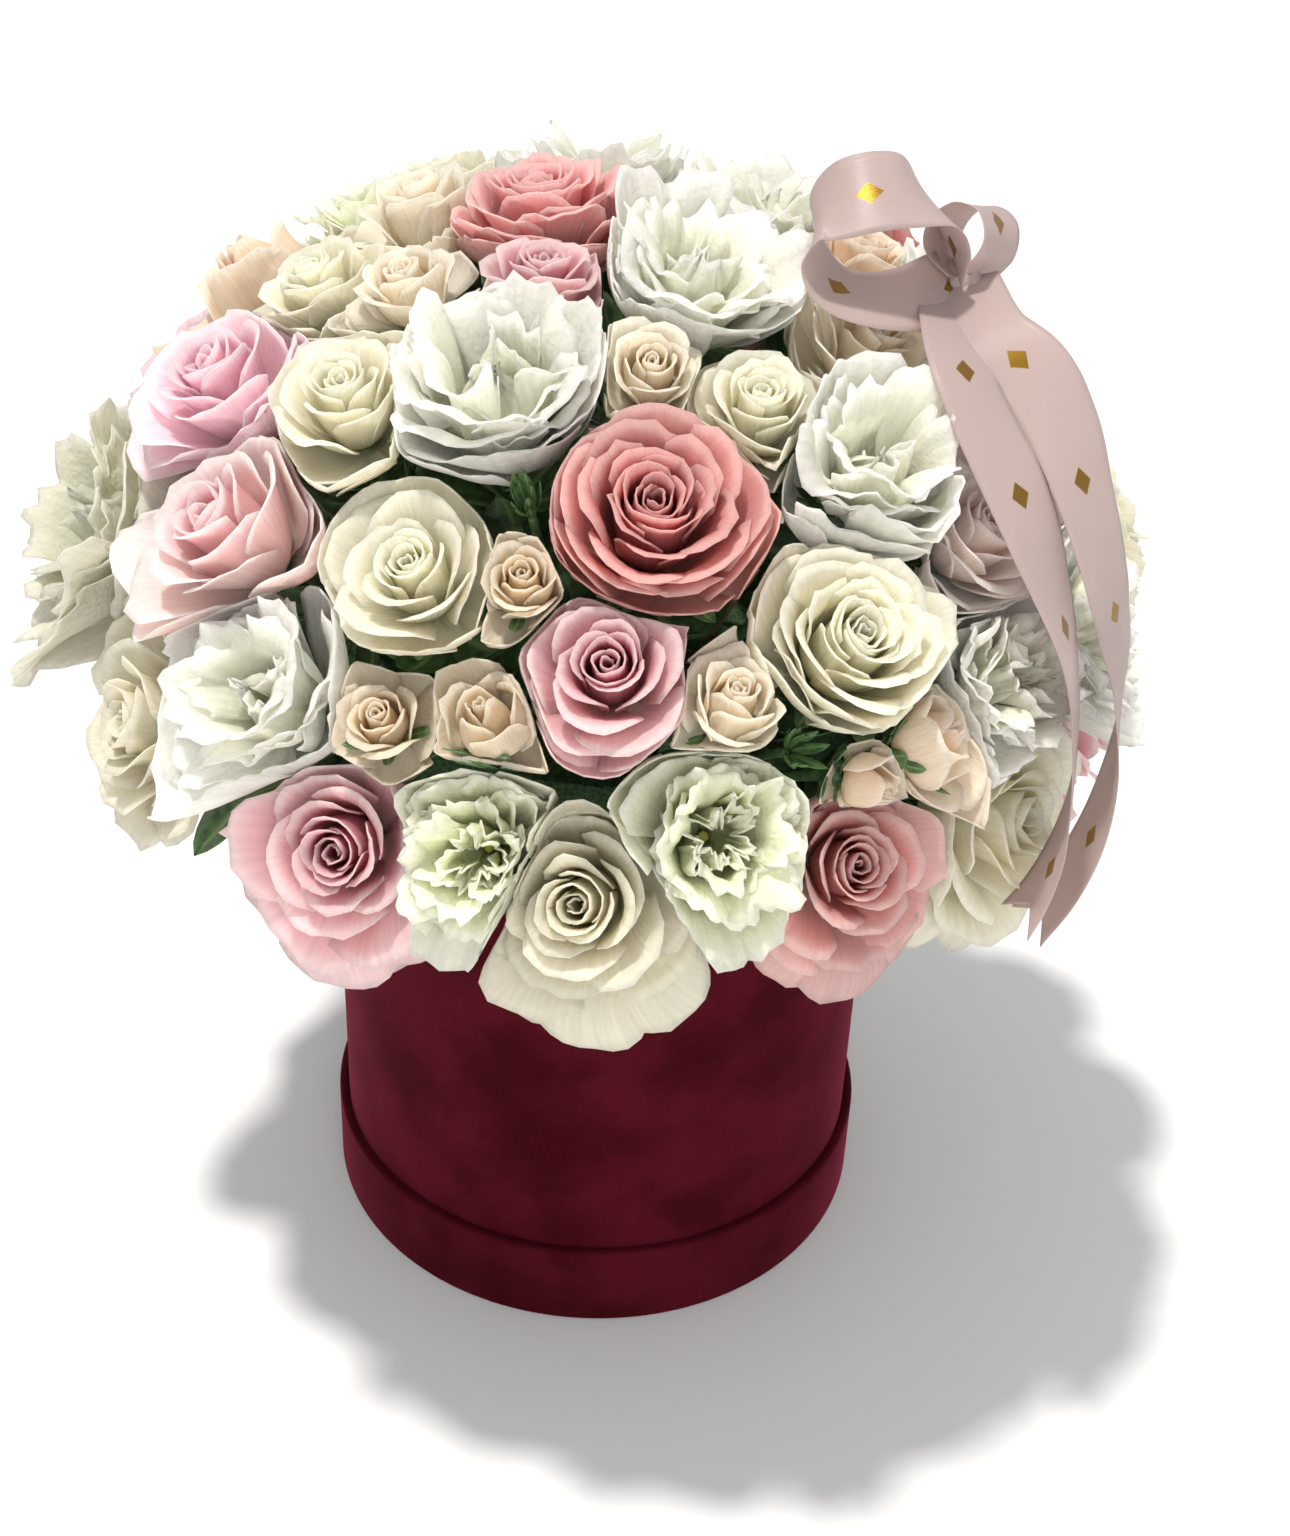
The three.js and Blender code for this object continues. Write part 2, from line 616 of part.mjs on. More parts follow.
// A strip of ribbon along chosen points, each with the direction that its face looks in
function strip(points, steps, notch = 0) {
  const route = new THREE.CatmullRomCurve3(points.map(([p]) => new THREE.Vector3(...p)));
  const looks = new THREE.CatmullRomCurve3(points.map(([, look]) => new THREE.Vector3(...look)));
  const rows = [];
  for (let i = 0; i <= steps; i++) {
    const t = i / steps;
    const p = route.getPoint(t);
    const along = route.getTangent(t);
    const across = along.clone().cross(looks.getPoint(t)).normalize();
    const half = RIBBON_WIDTH / 2;
    if (notch && i === steps) {
      rows.push([-1, 0, 1].map((s) => {
        const end = p.clone().addScaledVector(across, s * half);
        return s ? end : end.addScaledVector(along, -notch);
      }));
    } else {
      rows.push([-1, 1].map((s) => p.clone().addScaledVector(across, s * half)));
    }
  }
  return solidOf(blade(rows, RIBBON_THICK));
}

// Chosen points of each strip, [place, the way its face looks]
const FRONT_LOOP = [
  [[103, -35, 392], [0.47, -0.56, 0.68]],
  [[90, -46, 392], [0.27, -0.41, 0.87]],
  [[76, -50, 393], [0.2, -0.32, 0.93]],
  [[65, -48, 396], [0.47, -0.32, 0.82]],
  [[59, -44, 405], [0.91, -0.27, 0.32]],
  [[59, -44, 416], [0.87, 0.22, -0.43]],
  [[68, -47, 423], [0.28, 0.74, -0.61]],
  [[82, -45, 425], [-0.34, 0.61, -0.71]],
  [[95, -38, 418], [-0.65, -0.14, -0.74]],
  [[101, -33, 406], [-0.85, -0.3, -0.43]],
  [[104, -32, 396], [-0.97, 0.02, -0.26]],
];
const BACK_LOOP = [
  [[108, -30, 393], [0.57, -0.08, 0.82]],
  [[101, -22, 398], [0.74, -0.29, 0.61]],
  [[102, -17, 406], [0.76, -0.62, -0.19]],
  [[108, -18, 412], [0.13, -0.44, -0.89]],
  [[115, -24, 411], [-0.66, 0.19, -0.72]],
  [[116, -30, 403], [-0.81, 0.58, 0]],
  [[110, -31, 394], [-0.7, 0.63, 0.33]],
];
const INNER_TAIL = [
  [[104, -34, 390], [0.19, -0.2, 0.96]],
  [[104, -74, 382], [0.38, -0.27, 0.88]],
  [[111, -89, 370], [0.43, -0.48, 0.77]],
  [[119, -99, 358], [0.45, -0.59, 0.67]],
  [[127, -108, 343], [0.61, -0.55, 0.57]],
  [[135, -114, 325], [0.81, -0.38, 0.46]],
  [[141, -120, 308], [0.93, -0.23, 0.27]],
  [[146, -119, 283], [0.97, -0.21, 0.14]],
  [[147, -122, 261], [0.99, -0.16, -0.02]],
  [[145, -125, 244], [0.98, -0.05, -0.21]],
  [[140, -128, 229], [0.91, 0.02, -0.41]],
  [[134, -131, 219], [0.84, 0.07, -0.55]],
];
const OUTER_TAIL = [
  [[105, -32, 393], [-0.21, -0.25, 0.95]],
  [[112, -60, 387], [-0.29, -0.43, 0.85]],
  [[125, -71, 380], [-0.09, -0.76, 0.64]],
  [[135, -80, 367], [0.25, -0.72, 0.65]],
  [[142, -90, 352], [0.53, -0.61, 0.59]],
  [[148, -98, 337], [0.67, -0.57, 0.47]],
  [[154, -103, 319], [0.82, -0.52, 0.23]],
  [[161, -96, 297], [0.91, -0.38, 0.16]],
  [[163, -98, 279], [0.97, -0.22, 0.09]],
  [[163, -102, 259], [0.99, -0.03, -0.1]],
  [[159, -107, 238], [0.95, 0.08, -0.31]],
  [[151, -112, 220], [0.85, 0.12, -0.51]],
  [[141, -116, 206], [0.79, 0.14, -0.59]],
];

function ribbon() {
  const knot = new THREE.SphereGeometry(KNOT_RADIUS, 6, 4);
  knot.translate(KNOT.x, KNOT.y, KNOT.z);
  let solid = solidOf(knot);
  solid = solid.add(strip(FRONT_LOOP, 14));
  solid = solid.add(strip(BACK_LOOP, 9));
  solid = solid.add(strip(INNER_TAIL, 11, 8));
  solid = solid.add(strip(OUTER_TAIL, 11, 8));
  return meshOf(solid, "ribbon", "satin");
}

function ribbonPick() {
  const solid = rod(PICK_SITE, PICK_RADIUS, STEM_END - PICK_SITE.reach, -KNOT_RADIUS - FIT);
  return meshOf(solid, "ribbon_pick", "wood");
}

const hatBox = new THREE.Group();
hatBox.name = "flower_hat_box";
hatBox.add(boxBody(), lid(), liner(), foam(), ribbon(), ribbonPick(), ...flowers());

export default hatBox;
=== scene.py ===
# %% [markdown]
# # A flower hat box
#
# The real object is a round card box covered in burgundy velvet. It stands in its own lid and holds wet foam,
# and the stems of about sixty blooms are pushed into the foam so that their heads make one closed dome.
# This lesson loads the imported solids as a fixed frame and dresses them: velvet on the box, thin petals on
# every head, green on every stem and satin on the ribbon. Lengths below are in millimetres until a mesh is
# made, because florists, ribbon makers and box makers all work in them.

import math

import bpy
import numpy as np
from mathutils import Matrix, Vector


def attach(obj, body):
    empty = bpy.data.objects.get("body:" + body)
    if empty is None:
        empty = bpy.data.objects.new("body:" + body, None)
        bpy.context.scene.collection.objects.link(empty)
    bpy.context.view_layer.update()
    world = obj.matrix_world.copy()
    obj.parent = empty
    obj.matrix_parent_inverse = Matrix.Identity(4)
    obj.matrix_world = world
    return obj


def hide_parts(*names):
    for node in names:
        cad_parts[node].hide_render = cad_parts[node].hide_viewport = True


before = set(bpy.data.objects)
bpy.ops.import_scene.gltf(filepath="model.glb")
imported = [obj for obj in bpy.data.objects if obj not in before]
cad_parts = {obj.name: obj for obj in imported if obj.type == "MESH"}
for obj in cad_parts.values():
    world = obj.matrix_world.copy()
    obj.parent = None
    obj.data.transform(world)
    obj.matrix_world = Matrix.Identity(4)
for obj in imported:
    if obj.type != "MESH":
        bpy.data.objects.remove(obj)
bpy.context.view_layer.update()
MM = 0.001
print("nodes in the frame:", len(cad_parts))

# %% [markdown]
# ## The camera
#
# The photo was taken from in front and above, with the camera turned a little. A camera can be placed by eye
# or worked out from the ellipses that the round box draws. It was worked out, so the rims of the box and the
# lid fall where the photo has them. The lens is given for the long side of the picture.

# %% Camera
CAMERA_AT = Vector((14.3, -695.5, 650.2)) * MM
LOOKS_DOWN, TURNED = math.radians(33.84), math.radians(2.59)
camera_data = bpy.data.cameras.new("camera")
camera_data.sensor_fit = "AUTO"
camera_data.sensor_width = 36
camera_data.lens = 52.36
camera = bpy.data.objects.new("camera", camera_data)
tilt = Matrix.Rotation(math.pi / 2 - LOOKS_DOWN, 4, "X") @ Matrix.Rotation(TURNED, 4, "Z")
camera.matrix_world = Matrix.Translation(CAMERA_AT) @ tilt
bpy.context.scene.collection.objects.link(camera)
bpy.context.scene.camera = camera
print("camera at", tuple(round(v, 3) for v in camera.location))

# %% [markdown]
# ## Helpers for materials
#
# A screen colour such as #48121C isn't what a shader wants: it wants linear light. One function turns one
# into the other. One more adds any node with its settings and links and gives back one of its outputs, so a
# material reads as a list of steps. A Mix node takes a share and two colours at its inputs 0, 6 and 7, and
# gives the colour at its output 2. A Map Range node takes a value and its range at 0, 1 and 2 and the new
# range at 3 and 4, which is 0 to 1 if nothing is said.


# %% Colour and node helpers
BLEND = {"data_type": "RGBA"}
SMOOTH = {"interpolation_type": "SMOOTHSTEP"}


def linear(hex_colour):
    """An sRGB hex colour as linear red, green, blue and alpha."""
    parts = [int(hex_colour[i:i + 2], 16) / 255 for i in (1, 3, 5)]
    return [c / 12.92 if c <= 0.04045 else ((c + 0.055) / 1.055) ** 2.4 for c in parts] + [1.0]


def set_inputs(node, inputs):
    """Gives each input its value, or links it to the output that feeds it."""
    for key, value in inputs.items():
        if isinstance(value, bpy.types.NodeSocket):
            node.id_data.links.new(value, node.inputs[key])
        else:
            node.inputs[key].default_value = value


def add_node(material, kind, settings=None, inputs=None, out=0):
    """Adds a node with its settings and links, and gives back one of its outputs."""
    node = material.node_tree.nodes.new("ShaderNode" + kind)
    for key, value in (settings or {}).items():
        setattr(node, key, value)
    set_inputs(node, inputs or {})
    return node.outputs[out]


def new_material(name):
    """A material with an empty Principled shader, and that shader."""
    material = bpy.data.materials.new(name)
    material.use_nodes = True
    return material, material.node_tree.nodes["Principled BSDF"]


def let_through(material, shader, share, colour, **more):
    """Mixes the shader with a Translucent one of the same colour, for a thin thing that passes light on."""
    glow = add_node(material, "BsdfTranslucent", inputs={"Color": colour, **more})
    both = add_node(material, "MixShader", inputs={0: share, 1: shader.outputs[0], 2: glow})
    set_inputs(material.node_tree.nodes["Material Output"], {"Surface": both})


def per_metre(size):
    """The scale of a pattern with a grain of this many millimetres."""
    return float(round(1000 / size))


print("burgundy in linear light:", [round(c, 4) for c in linear("#48121C")])

# %% [markdown]
# ## Floor and light
#
# The photo is a product shot on white, with the sun high up behind the flowers on the left and a bright room
# all round. The sun gives the sharp shade under the dome, a pale world fills it, and a big soft window in
# front lifts the shade between the petals. Petals pass light on many times, so it may bounce five times.

# %% Floor and light
scene = bpy.context.scene
scene.view_settings.view_transform = "Standard"
scene.cycles.diffuse_bounces = 5


def put(name, data):
    """Puts a new object into the scene."""
    thing = bpy.data.objects.new(name, data)
    scene.collection.objects.link(thing)
    return thing


def shines_along(light, way):
    light.rotation_euler = way.to_track_quat("-Z", "Y").to_euler()


FLOOR_HALF = 6
corners = [(x * FLOOR_HALF, y * FLOOR_HALF, 0) for x, y in ((-1, -1), (1, -1), (1, 1), (-1, 1))]
floor_mesh = bpy.data.meshes.new("floor")
floor_mesh.from_pydata(corners, [], [(0, 1, 2, 3)])
floor = put("floor", floor_mesh)
# Matt white paper: it shows no gloss, only the shade that falls on it.
paper, paper_shader = new_material("white_paper_sweep")
set_inputs(paper_shader, {"Base Color": linear("#DEDEDE"), "Roughness": 0.9})
floor_mesh.materials.append(paper)

sun_data = bpy.data.lights.new("sun", "SUN")
sun_data.energy = 3.3
sun_data.angle = math.radians(5)
sun_data.color = (1.0, 0.97, 0.92)
sun = put("sun", sun_data)
shines_along(sun, Vector((0.2, 0.005, -1.0)))

world = bpy.data.worlds.new("room")
world.use_nodes = True
set_inputs(world.node_tree.nodes["Background"], {"Color": (0.97, 0.985, 1.0, 1.0), "Strength": 0.72})
scene.world = world

window_data = bpy.data.lights.new("window", "AREA")
window_data.shape = "DISK"
window_data.size = 1.8
window_data.energy = 26
window_data.color = (1.0, 0.98, 0.95)
window = put("window", window_data)
window.location = (0.4, -2.6, 1.1)
shines_along(window, Vector((0, 0, 0.28)) - window.location)
print("lights:", sun.name, window.name, "and the room")

# %% [markdown]
# ## The florist's plan
#
# Each row is a head, and rows with the same name share a stem. Heads sit on an ellipsoid, and every stem aims
# at one point in the foam, as a florist aims them. The plan repeats the values of the solids, so each fine
# bloom stands exactly where its plain solid does. A row gives the stem, the colour, the kind of head, its
# azimuth and latitude in degrees, its width and how far it stands out of the dome in millimetres. Many heads
# nod on their stems: the last two numbers, where there are any, lean a head up and to the right, in degrees.

# %% Measures of the dome
ROOT = np.array([0.0, 0.0, 178.0])  # the point that the stems aim at
STEM_END, SHOOT_AT = 44, 112  # how near the stems come to it, and where side shoots leave them
DOME_RADIUS, DOME_RISE, DOME_MIDDLE = 172, 134, 268
NECK = 0.92  # from a head's middle down to its calyx, in head radii
CALYX = 6
ROOM = 0.2  # from a petal's face to the border with the next bloom
PETAL, LEAF = 0.5, 0.4  # thickness of a petal and of a leaf
KNOT = np.array([106.0, -29.0, 392.0])  # the middle of the ribbon's knot
KNOT_NUMBER = 999  # stands for the knot among the heads' numbers
print("the dome is", 2 * DOME_RADIUS, "mm across")


# %% Rows of the plan
# The far left lisianthus gets a darker copy of white lisianthus: painted shade, as it lies in shade.
# The front spray roses get a darker copy of cream: painted shade, as their neighbours shade them.
# The low white rose in front and the one at the low left get a darker copy of white: painted shade, as they lie in
# shade.
STEMS = {}
for line in """
rose_dusky_front dusky full_rose 6 42 66 3
rose_dusky_top rosy full_rose -85 81 56 2
rose_pink_top pink rose -26 72 38 0 8 4
rose_pink_front pink rose 1 24 49 2 8 -4
rose_pink_low_left pink hanging_rose -26 -6 56 2 3 12
rose_salmon_low_right salmon hanging_rose 27 -6 49 0 12 -3
rose_pink_left pale rose -49 28 60 2 4 -9
rose_bright_left bright rose -69 40 56 3 6 3
rose_white_upper_left white rose -43 48 46 3 12 2
rose_white_middle white rose -22 32 46 0 9 -2
rose_white_open white full_rose 28 25 60 2 9 0
rose_white_low ivory hanging_rose -1 -7 56 3 9 -11
rose_cream_upper white rose 26 54 42 -2 7 -6
rose_cream_ribbon cream rose 60 57 45 -4
rose_white_low_left ivory rose -58 -6 62 3
rose_blush_right blush rose 53 31 48 -6
rose_white_low_right white hanging_rose 53 -13 60 -2
rose_white_back_left white rose -78 55 40 1
spray_front sand spray_rose_with_sepals -9 33 28 1 14 4
spray_front sand spray_bud -11 17 28 1 30 -14
spray_front sand spray_rose_with_sepals -22 14 26 0 20 0
spray_cream_right cream spray_rose 14 20 33 0 28 6
spray_cream_upper cream spray_rose 7 59 31 1 -12 0
spray_top_left cream spray_rose -58 63 33 0
spray_top_left cream spray_rose -99 67 42 2
spray_buds_right peach spray_bud 28 6.6 24 3 -22 32
spray_buds_right peach spray_bud 36 10 32 0 6 40
spray_peach_left peach spray_bud -103 42 44 4
spray_peach_ribbon peach spray_rose 92 63 42 -3
lisianthus_upper eustoma lisianthus -20 56 68 4 8 3
lisianthus_top eustoma lisianthus 28 73 62 3 -6 5
lisianthus_right eustoma lisianthus 40 44 60 0 8 -6
lisianthus_low_left greenish lisianthus -11 -1 50 2
lisianthus_low_right greenish lisianthus 12 3 53 2 6 5
lisianthus_left eustoma lisianthus -37 12 58 2 6 -8
lisianthus_far_left pearl lisianthus -83 10 72 6
lisianthus_far_right eustoma lisianthus 49 12 50 -2
lisianthus_far_right eustoma lisianthus 72 7 56 -4
lisianthus_crown eustoma lisianthus -170 71 56 5
lisianthus_crown eustoma lisianthus 130 69 62 4
lisianthus_crown_left greenish lisianthus -124 52 50 6
rose_pink_side_left pink rose -103 -14 66 3
rose_pink_side_right pink rose 82 -15 56 0
rose_blush_side_right blush rose 79 34 56 -6
rose_white_back_high white full_rose -146 45 68 2
lisianthus_back_high eustoma lisianthus 177 44 70 2
rose_dusky_back_high dusky full_rose 141 42 70 0
lisianthus_back_right eustoma lisianthus 107 40 64 0
lisianthus_back_right eustoma lisianthus 127 14 72 0
rose_white_back_right white full_rose 99 11 70 0
rose_pink_back pink full_rose 154 15 72 0
rose_white_back white full_rose -178 15 74 0
lisianthus_back_left eustoma lisianthus -149 15 74 0
rose_bright_back_left bright full_rose -115 20 80 2
rose_white_back_low_right white rose 111 -14 66 0
rose_salmon_back_low salmon rose 140 -14 68 0
rose_white_back_low white rose 169 -14 68 0
rose_pink_back_low pink rose -162 -14 68 0
rose_white_back_low_left white rose -133 -14 70 0
leaves_front leaf sprig -11 43 15 -6
leaves_right leaf sprig 21 12 14 -5
""".split("\n")[1:-1]:
    stem_name, colour, kind, *numbers = line.split()
    STEMS.setdefault(stem_name, (colour, []))[1].append((kind, *map(float, numbers)))
print("stems:", len(STEMS))


# %% Heads on the dome
FARTHEST, FARTHEST_MM = 2.6, 52  # a neighbour beyond these, in head radii and millimetres, doesn't count
OPEN_SIDE = 0.98  # how far petals spread where no neighbour stands


def unit(vector):
    return vector / np.linalg.norm(vector)


def on_dome(azimuth, latitude, lift):
    """A place on the dome, by degrees from the front and up, and millimetres outwards."""
    a, l = math.radians(azimuth), math.radians(latitude)
    across = (DOME_RADIUS + lift) * math.cos(l)
    return np.array([across * math.sin(a), -across * math.cos(a), DOME_MIDDLE + (DOME_RISE + lift) * math.sin(l)])


class Head:
    """One bloom: where it sits, which way it leans, and a frame across it that points down the dome."""

    def __init__(self, number, stem, kind, azimuth, latitude, width, lift, up=0, right=0):
        self.number, self.stem, self.kind = number, stem, kind
        self.middle = on_dome(azimuth, latitude, lift)
        self.radius = width / 2
        self.reach = np.linalg.norm(self.middle - ROOT)
        self.out = unit(self.middle - ROOT)
        down = np.array([0.0, 0.0, -1.0])
        self.down = unit(down - self.out * (self.out @ down))
        self.side = np.cross(self.out, self.down)
        self.axis = unit(self.out - math.tan(math.radians(up)) * self.down + math.tan(math.radians(right)) * self.side)
        self.fall = unit(self.down - self.axis * (self.axis @ self.down))
        self.across = np.cross(self.axis, self.fall)
        self.low = self.out[2] < 0.5  # on the lower part of the dome

    def at(self, angle, radius, height, level=False):
        """Points from angles, and radii and heights in head radii, round the head's axis or level with the dome."""
        fall, across, axis = (self.down, self.side, self.out) if level else (self.fall, self.across, self.axis)
        down = (self.radius * radius * np.cos(angle))[..., None] * fall
        side = (self.radius * radius * np.sin(angle))[..., None] * across
        return self.middle + down + side + (self.radius * height)[..., None] * axis

    def room(self, angle):
        """How far the head could spread at an angle before it meets a neighbour, in head radii."""
        way = math.cos(angle) * self.down + math.sin(angle) * self.side
        free = min([self.reach * b.half / (way @ b.normal) for b in self.borders if way @ b.normal > 0.05] + [1e3])
        return free / self.radius if free < min(FARTHEST * self.radius, FARTHEST_MM) else OPEN_SIDE

    def hangs(self, angle):
        """Whether a petal at an angle would hang down over the rim of the box."""
        return self.low and math.cos(angle) > -0.3

    def corner_near(self, angle):
        """The nearest corner between two neighbours, if one is close, where a petal can fill the gap."""
        turns = angle + np.linspace(-0.55, 0.55, 23)
        free = [self.room(t) for t in turns]
        best = int(np.argmax(free))
        return turns[best] if 0 < best < len(turns) - 1 and free[best] > 1.15 else angle


heads = []
for stem_name, (_, rows) in STEMS.items():
    for row in rows:
        heads.append(Head(len(heads), stem_name, *row))
print("heads and sprigs:", len(heads))

# %% [markdown]
# ## How the blooms share the dome
#
# Packed heads press on each other: a petal that would spread into its neighbour bends back before it. Each
# pair of neighbours gets a border through the point that the stems aim at. The solids use flat borders. Here
# each one also waves and leans a little, the same for both sides, so one bloom's rim lies over the next one
# as it does in a real dome, and still nothing cuts through anything.


# %% Borders between neighbours
WAVE = 0.09


class Border:
    """The border of a head towards one neighbour."""

    def __init__(self, head, other_out, other_reach, other_radius, other_number):
        own = math.hypot(head.reach, head.radius) / head.reach
        its = math.hypot(other_reach, other_radius) / other_reach
        self.normal = unit(other_out * its - head.out * own)
        self.half = -head.out @ self.normal
        first = head.number < other_number
        self.sign = 1.0 if first else -1.0
        pair = np.random.default_rng([min(head.number, other_number), max(head.number, other_number)])
        self.between = unit(head.out + other_out)
        self.along = np.cross(self.normal * self.sign, self.between)
        self.depth = (head.reach + other_reach) / 2
        size = min(head.radius, other_radius)
        self.wave = WAVE * size * pair.uniform(0.5, 1.0)
        self.waves = pair.uniform(1.2, 2.2) / size
        self.phase = pair.uniform(0, 2 * math.pi)
        self.lean = pair.uniform(0.12, 0.34) * pair.choice([-1, 1])

    def shift(self, p):
        """How far the border stands out of its plane at each point."""
        wave = self.wave * np.sin(self.waves * (p @ self.along) + self.phase)
        lean = self.lean * np.clip(p @ self.between - self.depth, -22, 14)
        return self.sign * (wave + lean)


print("borders wave by up to", WAVE, "of the smaller bloom's radius")


# %% Pressing a petal
SQUEEZE, PASSES = 0.62, 8  # the share of the way to a border that stays free, and how often all borders press


def borders_of(head):
    """The borders towards all the heads within 45 degrees, and towards the ribbon's pick."""
    found = []
    for other in heads:
        if other is not head and other.out @ head.out > 0.7:
            found.append(Border(head, other.out, other.reach, other.radius, other.number))
    pick = KNOT - ROOT
    if unit(pick) @ head.out > 0.7:
        found.append(Border(head, unit(pick), np.linalg.norm(pick), 4, KNOT_NUMBER))
    return found


def pressed(points, head):
    """Points bent away smoothly before each border, and never past it."""
    p = points.reshape(-1, 3) - ROOT
    for turn in range(PASSES):
        for border in head.borders:
            wide = border.half * np.maximum(p @ head.out, 1)
            limit = np.maximum(wide - ROOM - PETAL / 2 + border.shift(p), 0.25 * wide)
            way = p @ border.normal + wide
            if turn == 0:
                start = SQUEEZE * limit
                room = limit - start
                over = np.maximum(way - start, 0)
                given = start + room * np.tanh(over / room)
                moved = np.where(way > start, given - way, 0)
            else:
                moved = np.where(way > limit, (limit - way) * 1.02, 0)
            p += moved[:, None] * border.normal
    return (p + ROOT).reshape(points.shape)


for head in heads:
    head.borders = borders_of(head)
print("borders per head:", round(sum(len(h.borders) for h in heads) / len(heads), 1))

# %% [markdown]
# ## Building meshes
#
# Petals, leaves and ribbon are all the same thing to a modeller: a thin sheet. Each is a grid of points on
# its middle surface, thickened to both sides and closed round the edge, so light can pass through it as it
# does through a real petal. Each point also keeps its place on the petal, which the materials read.


# %% Sheets and meshes
class Builder:
    """Gathers the parts of one piece and makes them into one mesh."""

    def __init__(self):
        self.points, self.faces, self.petal, self.chance, self.looks = [], [], [], [], []
        self.count = 0

    def add(self, points, faces, petal=None, chance=0.5, look=0):
        n = len(points)
        self.points.append(points)
        self.faces.append(faces + self.count)
        self.petal.append(np.zeros((n, 3)) if petal is None else petal)
        self.chance.append(np.full(n, chance))
        self.looks.append(np.full(len(faces), look, dtype=np.int32))
        self.count += n

    def add_sheet(self, grid, thickness, petal, chance=0.5):
        """A closed thin shell from rows of points on its middle surface."""
        rows, columns = grid.shape[:2]
        du = np.gradient(grid, axis=1)
        dv = np.gradient(grid, axis=0)
        normals = np.cross(du, dv)
        normals /= np.maximum(np.linalg.norm(normals, axis=2, keepdims=True), 1e-9)
        half = thickness / 2
        points = np.concatenate([(grid + half * normals).reshape(-1, 3), (grid - half * normals).reshape(-1, 3)])
        index = np.arange(rows * columns).reshape(rows, columns)
        a, b = index[:-1, :-1].ravel(), index[:-1, 1:].ravel()
        c, d = index[1:, 1:].ravel(), index[1:, :-1].ravel()
        low = rows * columns
        rim = np.concatenate([index[0, :], index[1:, -1], index[-1, -2::-1], index[-2:0:-1, 0]])
        after = np.roll(rim, -1)
        faces = np.concatenate([
            np.stack([a, b, c, d], axis=1),
            np.stack([a + low, d + low, c + low, b + low], axis=1),
            np.stack([rim, rim + low, after + low, after], axis=1),
        ])
        self.add(points, faces, np.concatenate([petal.reshape(-1, 3)] * 2), chance)

    def add_rings(self, rings, petal=None, look=0):
        """A closed skin over rings of equal count, with a cap at each end."""
        rings = np.asarray(rings)
        count, sides = rings.shape[:2]
        caps = np.stack([rings[0].mean(axis=0), rings[-1].mean(axis=0)])
        points = np.concatenate([rings.reshape(-1, 3), caps])
        index = np.arange(count * sides).reshape(count, sides)
        turned = np.roll(index, -1, axis=1)
        a, b = index[:-1].ravel(), turned[:-1].ravel()
        c, d = turned[1:].ravel(), index[1:].ravel()
        first, last = count * sides, count * sides + 1
        start = np.stack([index[0], np.full(sides, first), np.full(sides, first), turned[0]], axis=1)
        end = np.stack([index[-1], turned[-1], np.full(sides, last), np.full(sides, last)], axis=1)
        self.add(points, np.concatenate([np.stack([a, b, c, d], axis=1), start, end]), petal, look=look)

    def make(self, name, materials):
        """The mesh of all that was added, as an object that rides on the one body."""
        points = np.concatenate(self.points) * MM
        faces = np.concatenate(self.faces)
        mesh = bpy.data.meshes.new(name)
        polygons = [list(dict.fromkeys(face)) for face in faces.tolist()]
        mesh.from_pydata(points.tolist(), [], polygons)
        for attribute, kind, key in (("petal", "FLOAT_VECTOR", "vector"), ("chance", "FLOAT", "value")):
            made = mesh.attributes.new(attribute, kind, "POINT")
            made.data.foreach_set(key, np.concatenate(getattr(self, attribute)).ravel())
        for material in materials:
            mesh.materials.append(material)
        mesh.polygons.foreach_set("material_index", np.concatenate(self.looks))
        mesh.polygons.foreach_set("use_smooth", np.ones(len(polygons), dtype=bool))
        mesh.update()
        piece = put(name, mesh)
        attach(piece, "root")
        return piece


def triangles(piece):
    return sum(len(p.vertices) - 2 for p in piece.data.polygons)


print("a sheet of 9 by 11 points has", 4 * 8 * 10 + 4 * (8 + 10), "triangles")

# %% [markdown]
# ## One petal
#
# A petal leaves the calyx, runs out under the bloom, turns up and ends in a lip that curls in or out. The
# angle that it makes with the bloom's axis at four places says all of that: a bud's petal leans in, a full
# outer one lies nearly flat and rolls its lip under. Adding up short steps at those angles gives the
# petal's side view, which is then stretched to the reach and height that it has to meet.


# %% A petal in side view
FOOT = 0.07  # how far a petal's foot stands from the axis, in head radii


def side_view(along, angles, reach, low, top):
    """Radius and height along a petal, from its angles to the axis at foot, belly, shoulder and lip."""
    steps = np.linspace(0, 1, 49)
    lean = np.radians(np.interp(steps, (0, 0.35, 0.75, 1), angles))
    lean = np.convolve(np.pad(lean, 4, mode="edge"), np.ones(9) / 9, mode="valid")
    r = np.concatenate([[0], np.cumsum(np.sin(lean))[:-1]])
    h = np.concatenate([[0], np.cumsum(np.cos(lean))[:-1]])
    r = FOOT + (reach - FOOT) * r / r.max()
    h = low + (top - low) * h / h.max()
    return np.interp(along, steps, r), np.interp(along, steps, h)


print("halfway up a petal:", [round(float(v), 2) for v in side_view(0.5, (80, 50, 50, 100), 1.5, -NECK, 0)])


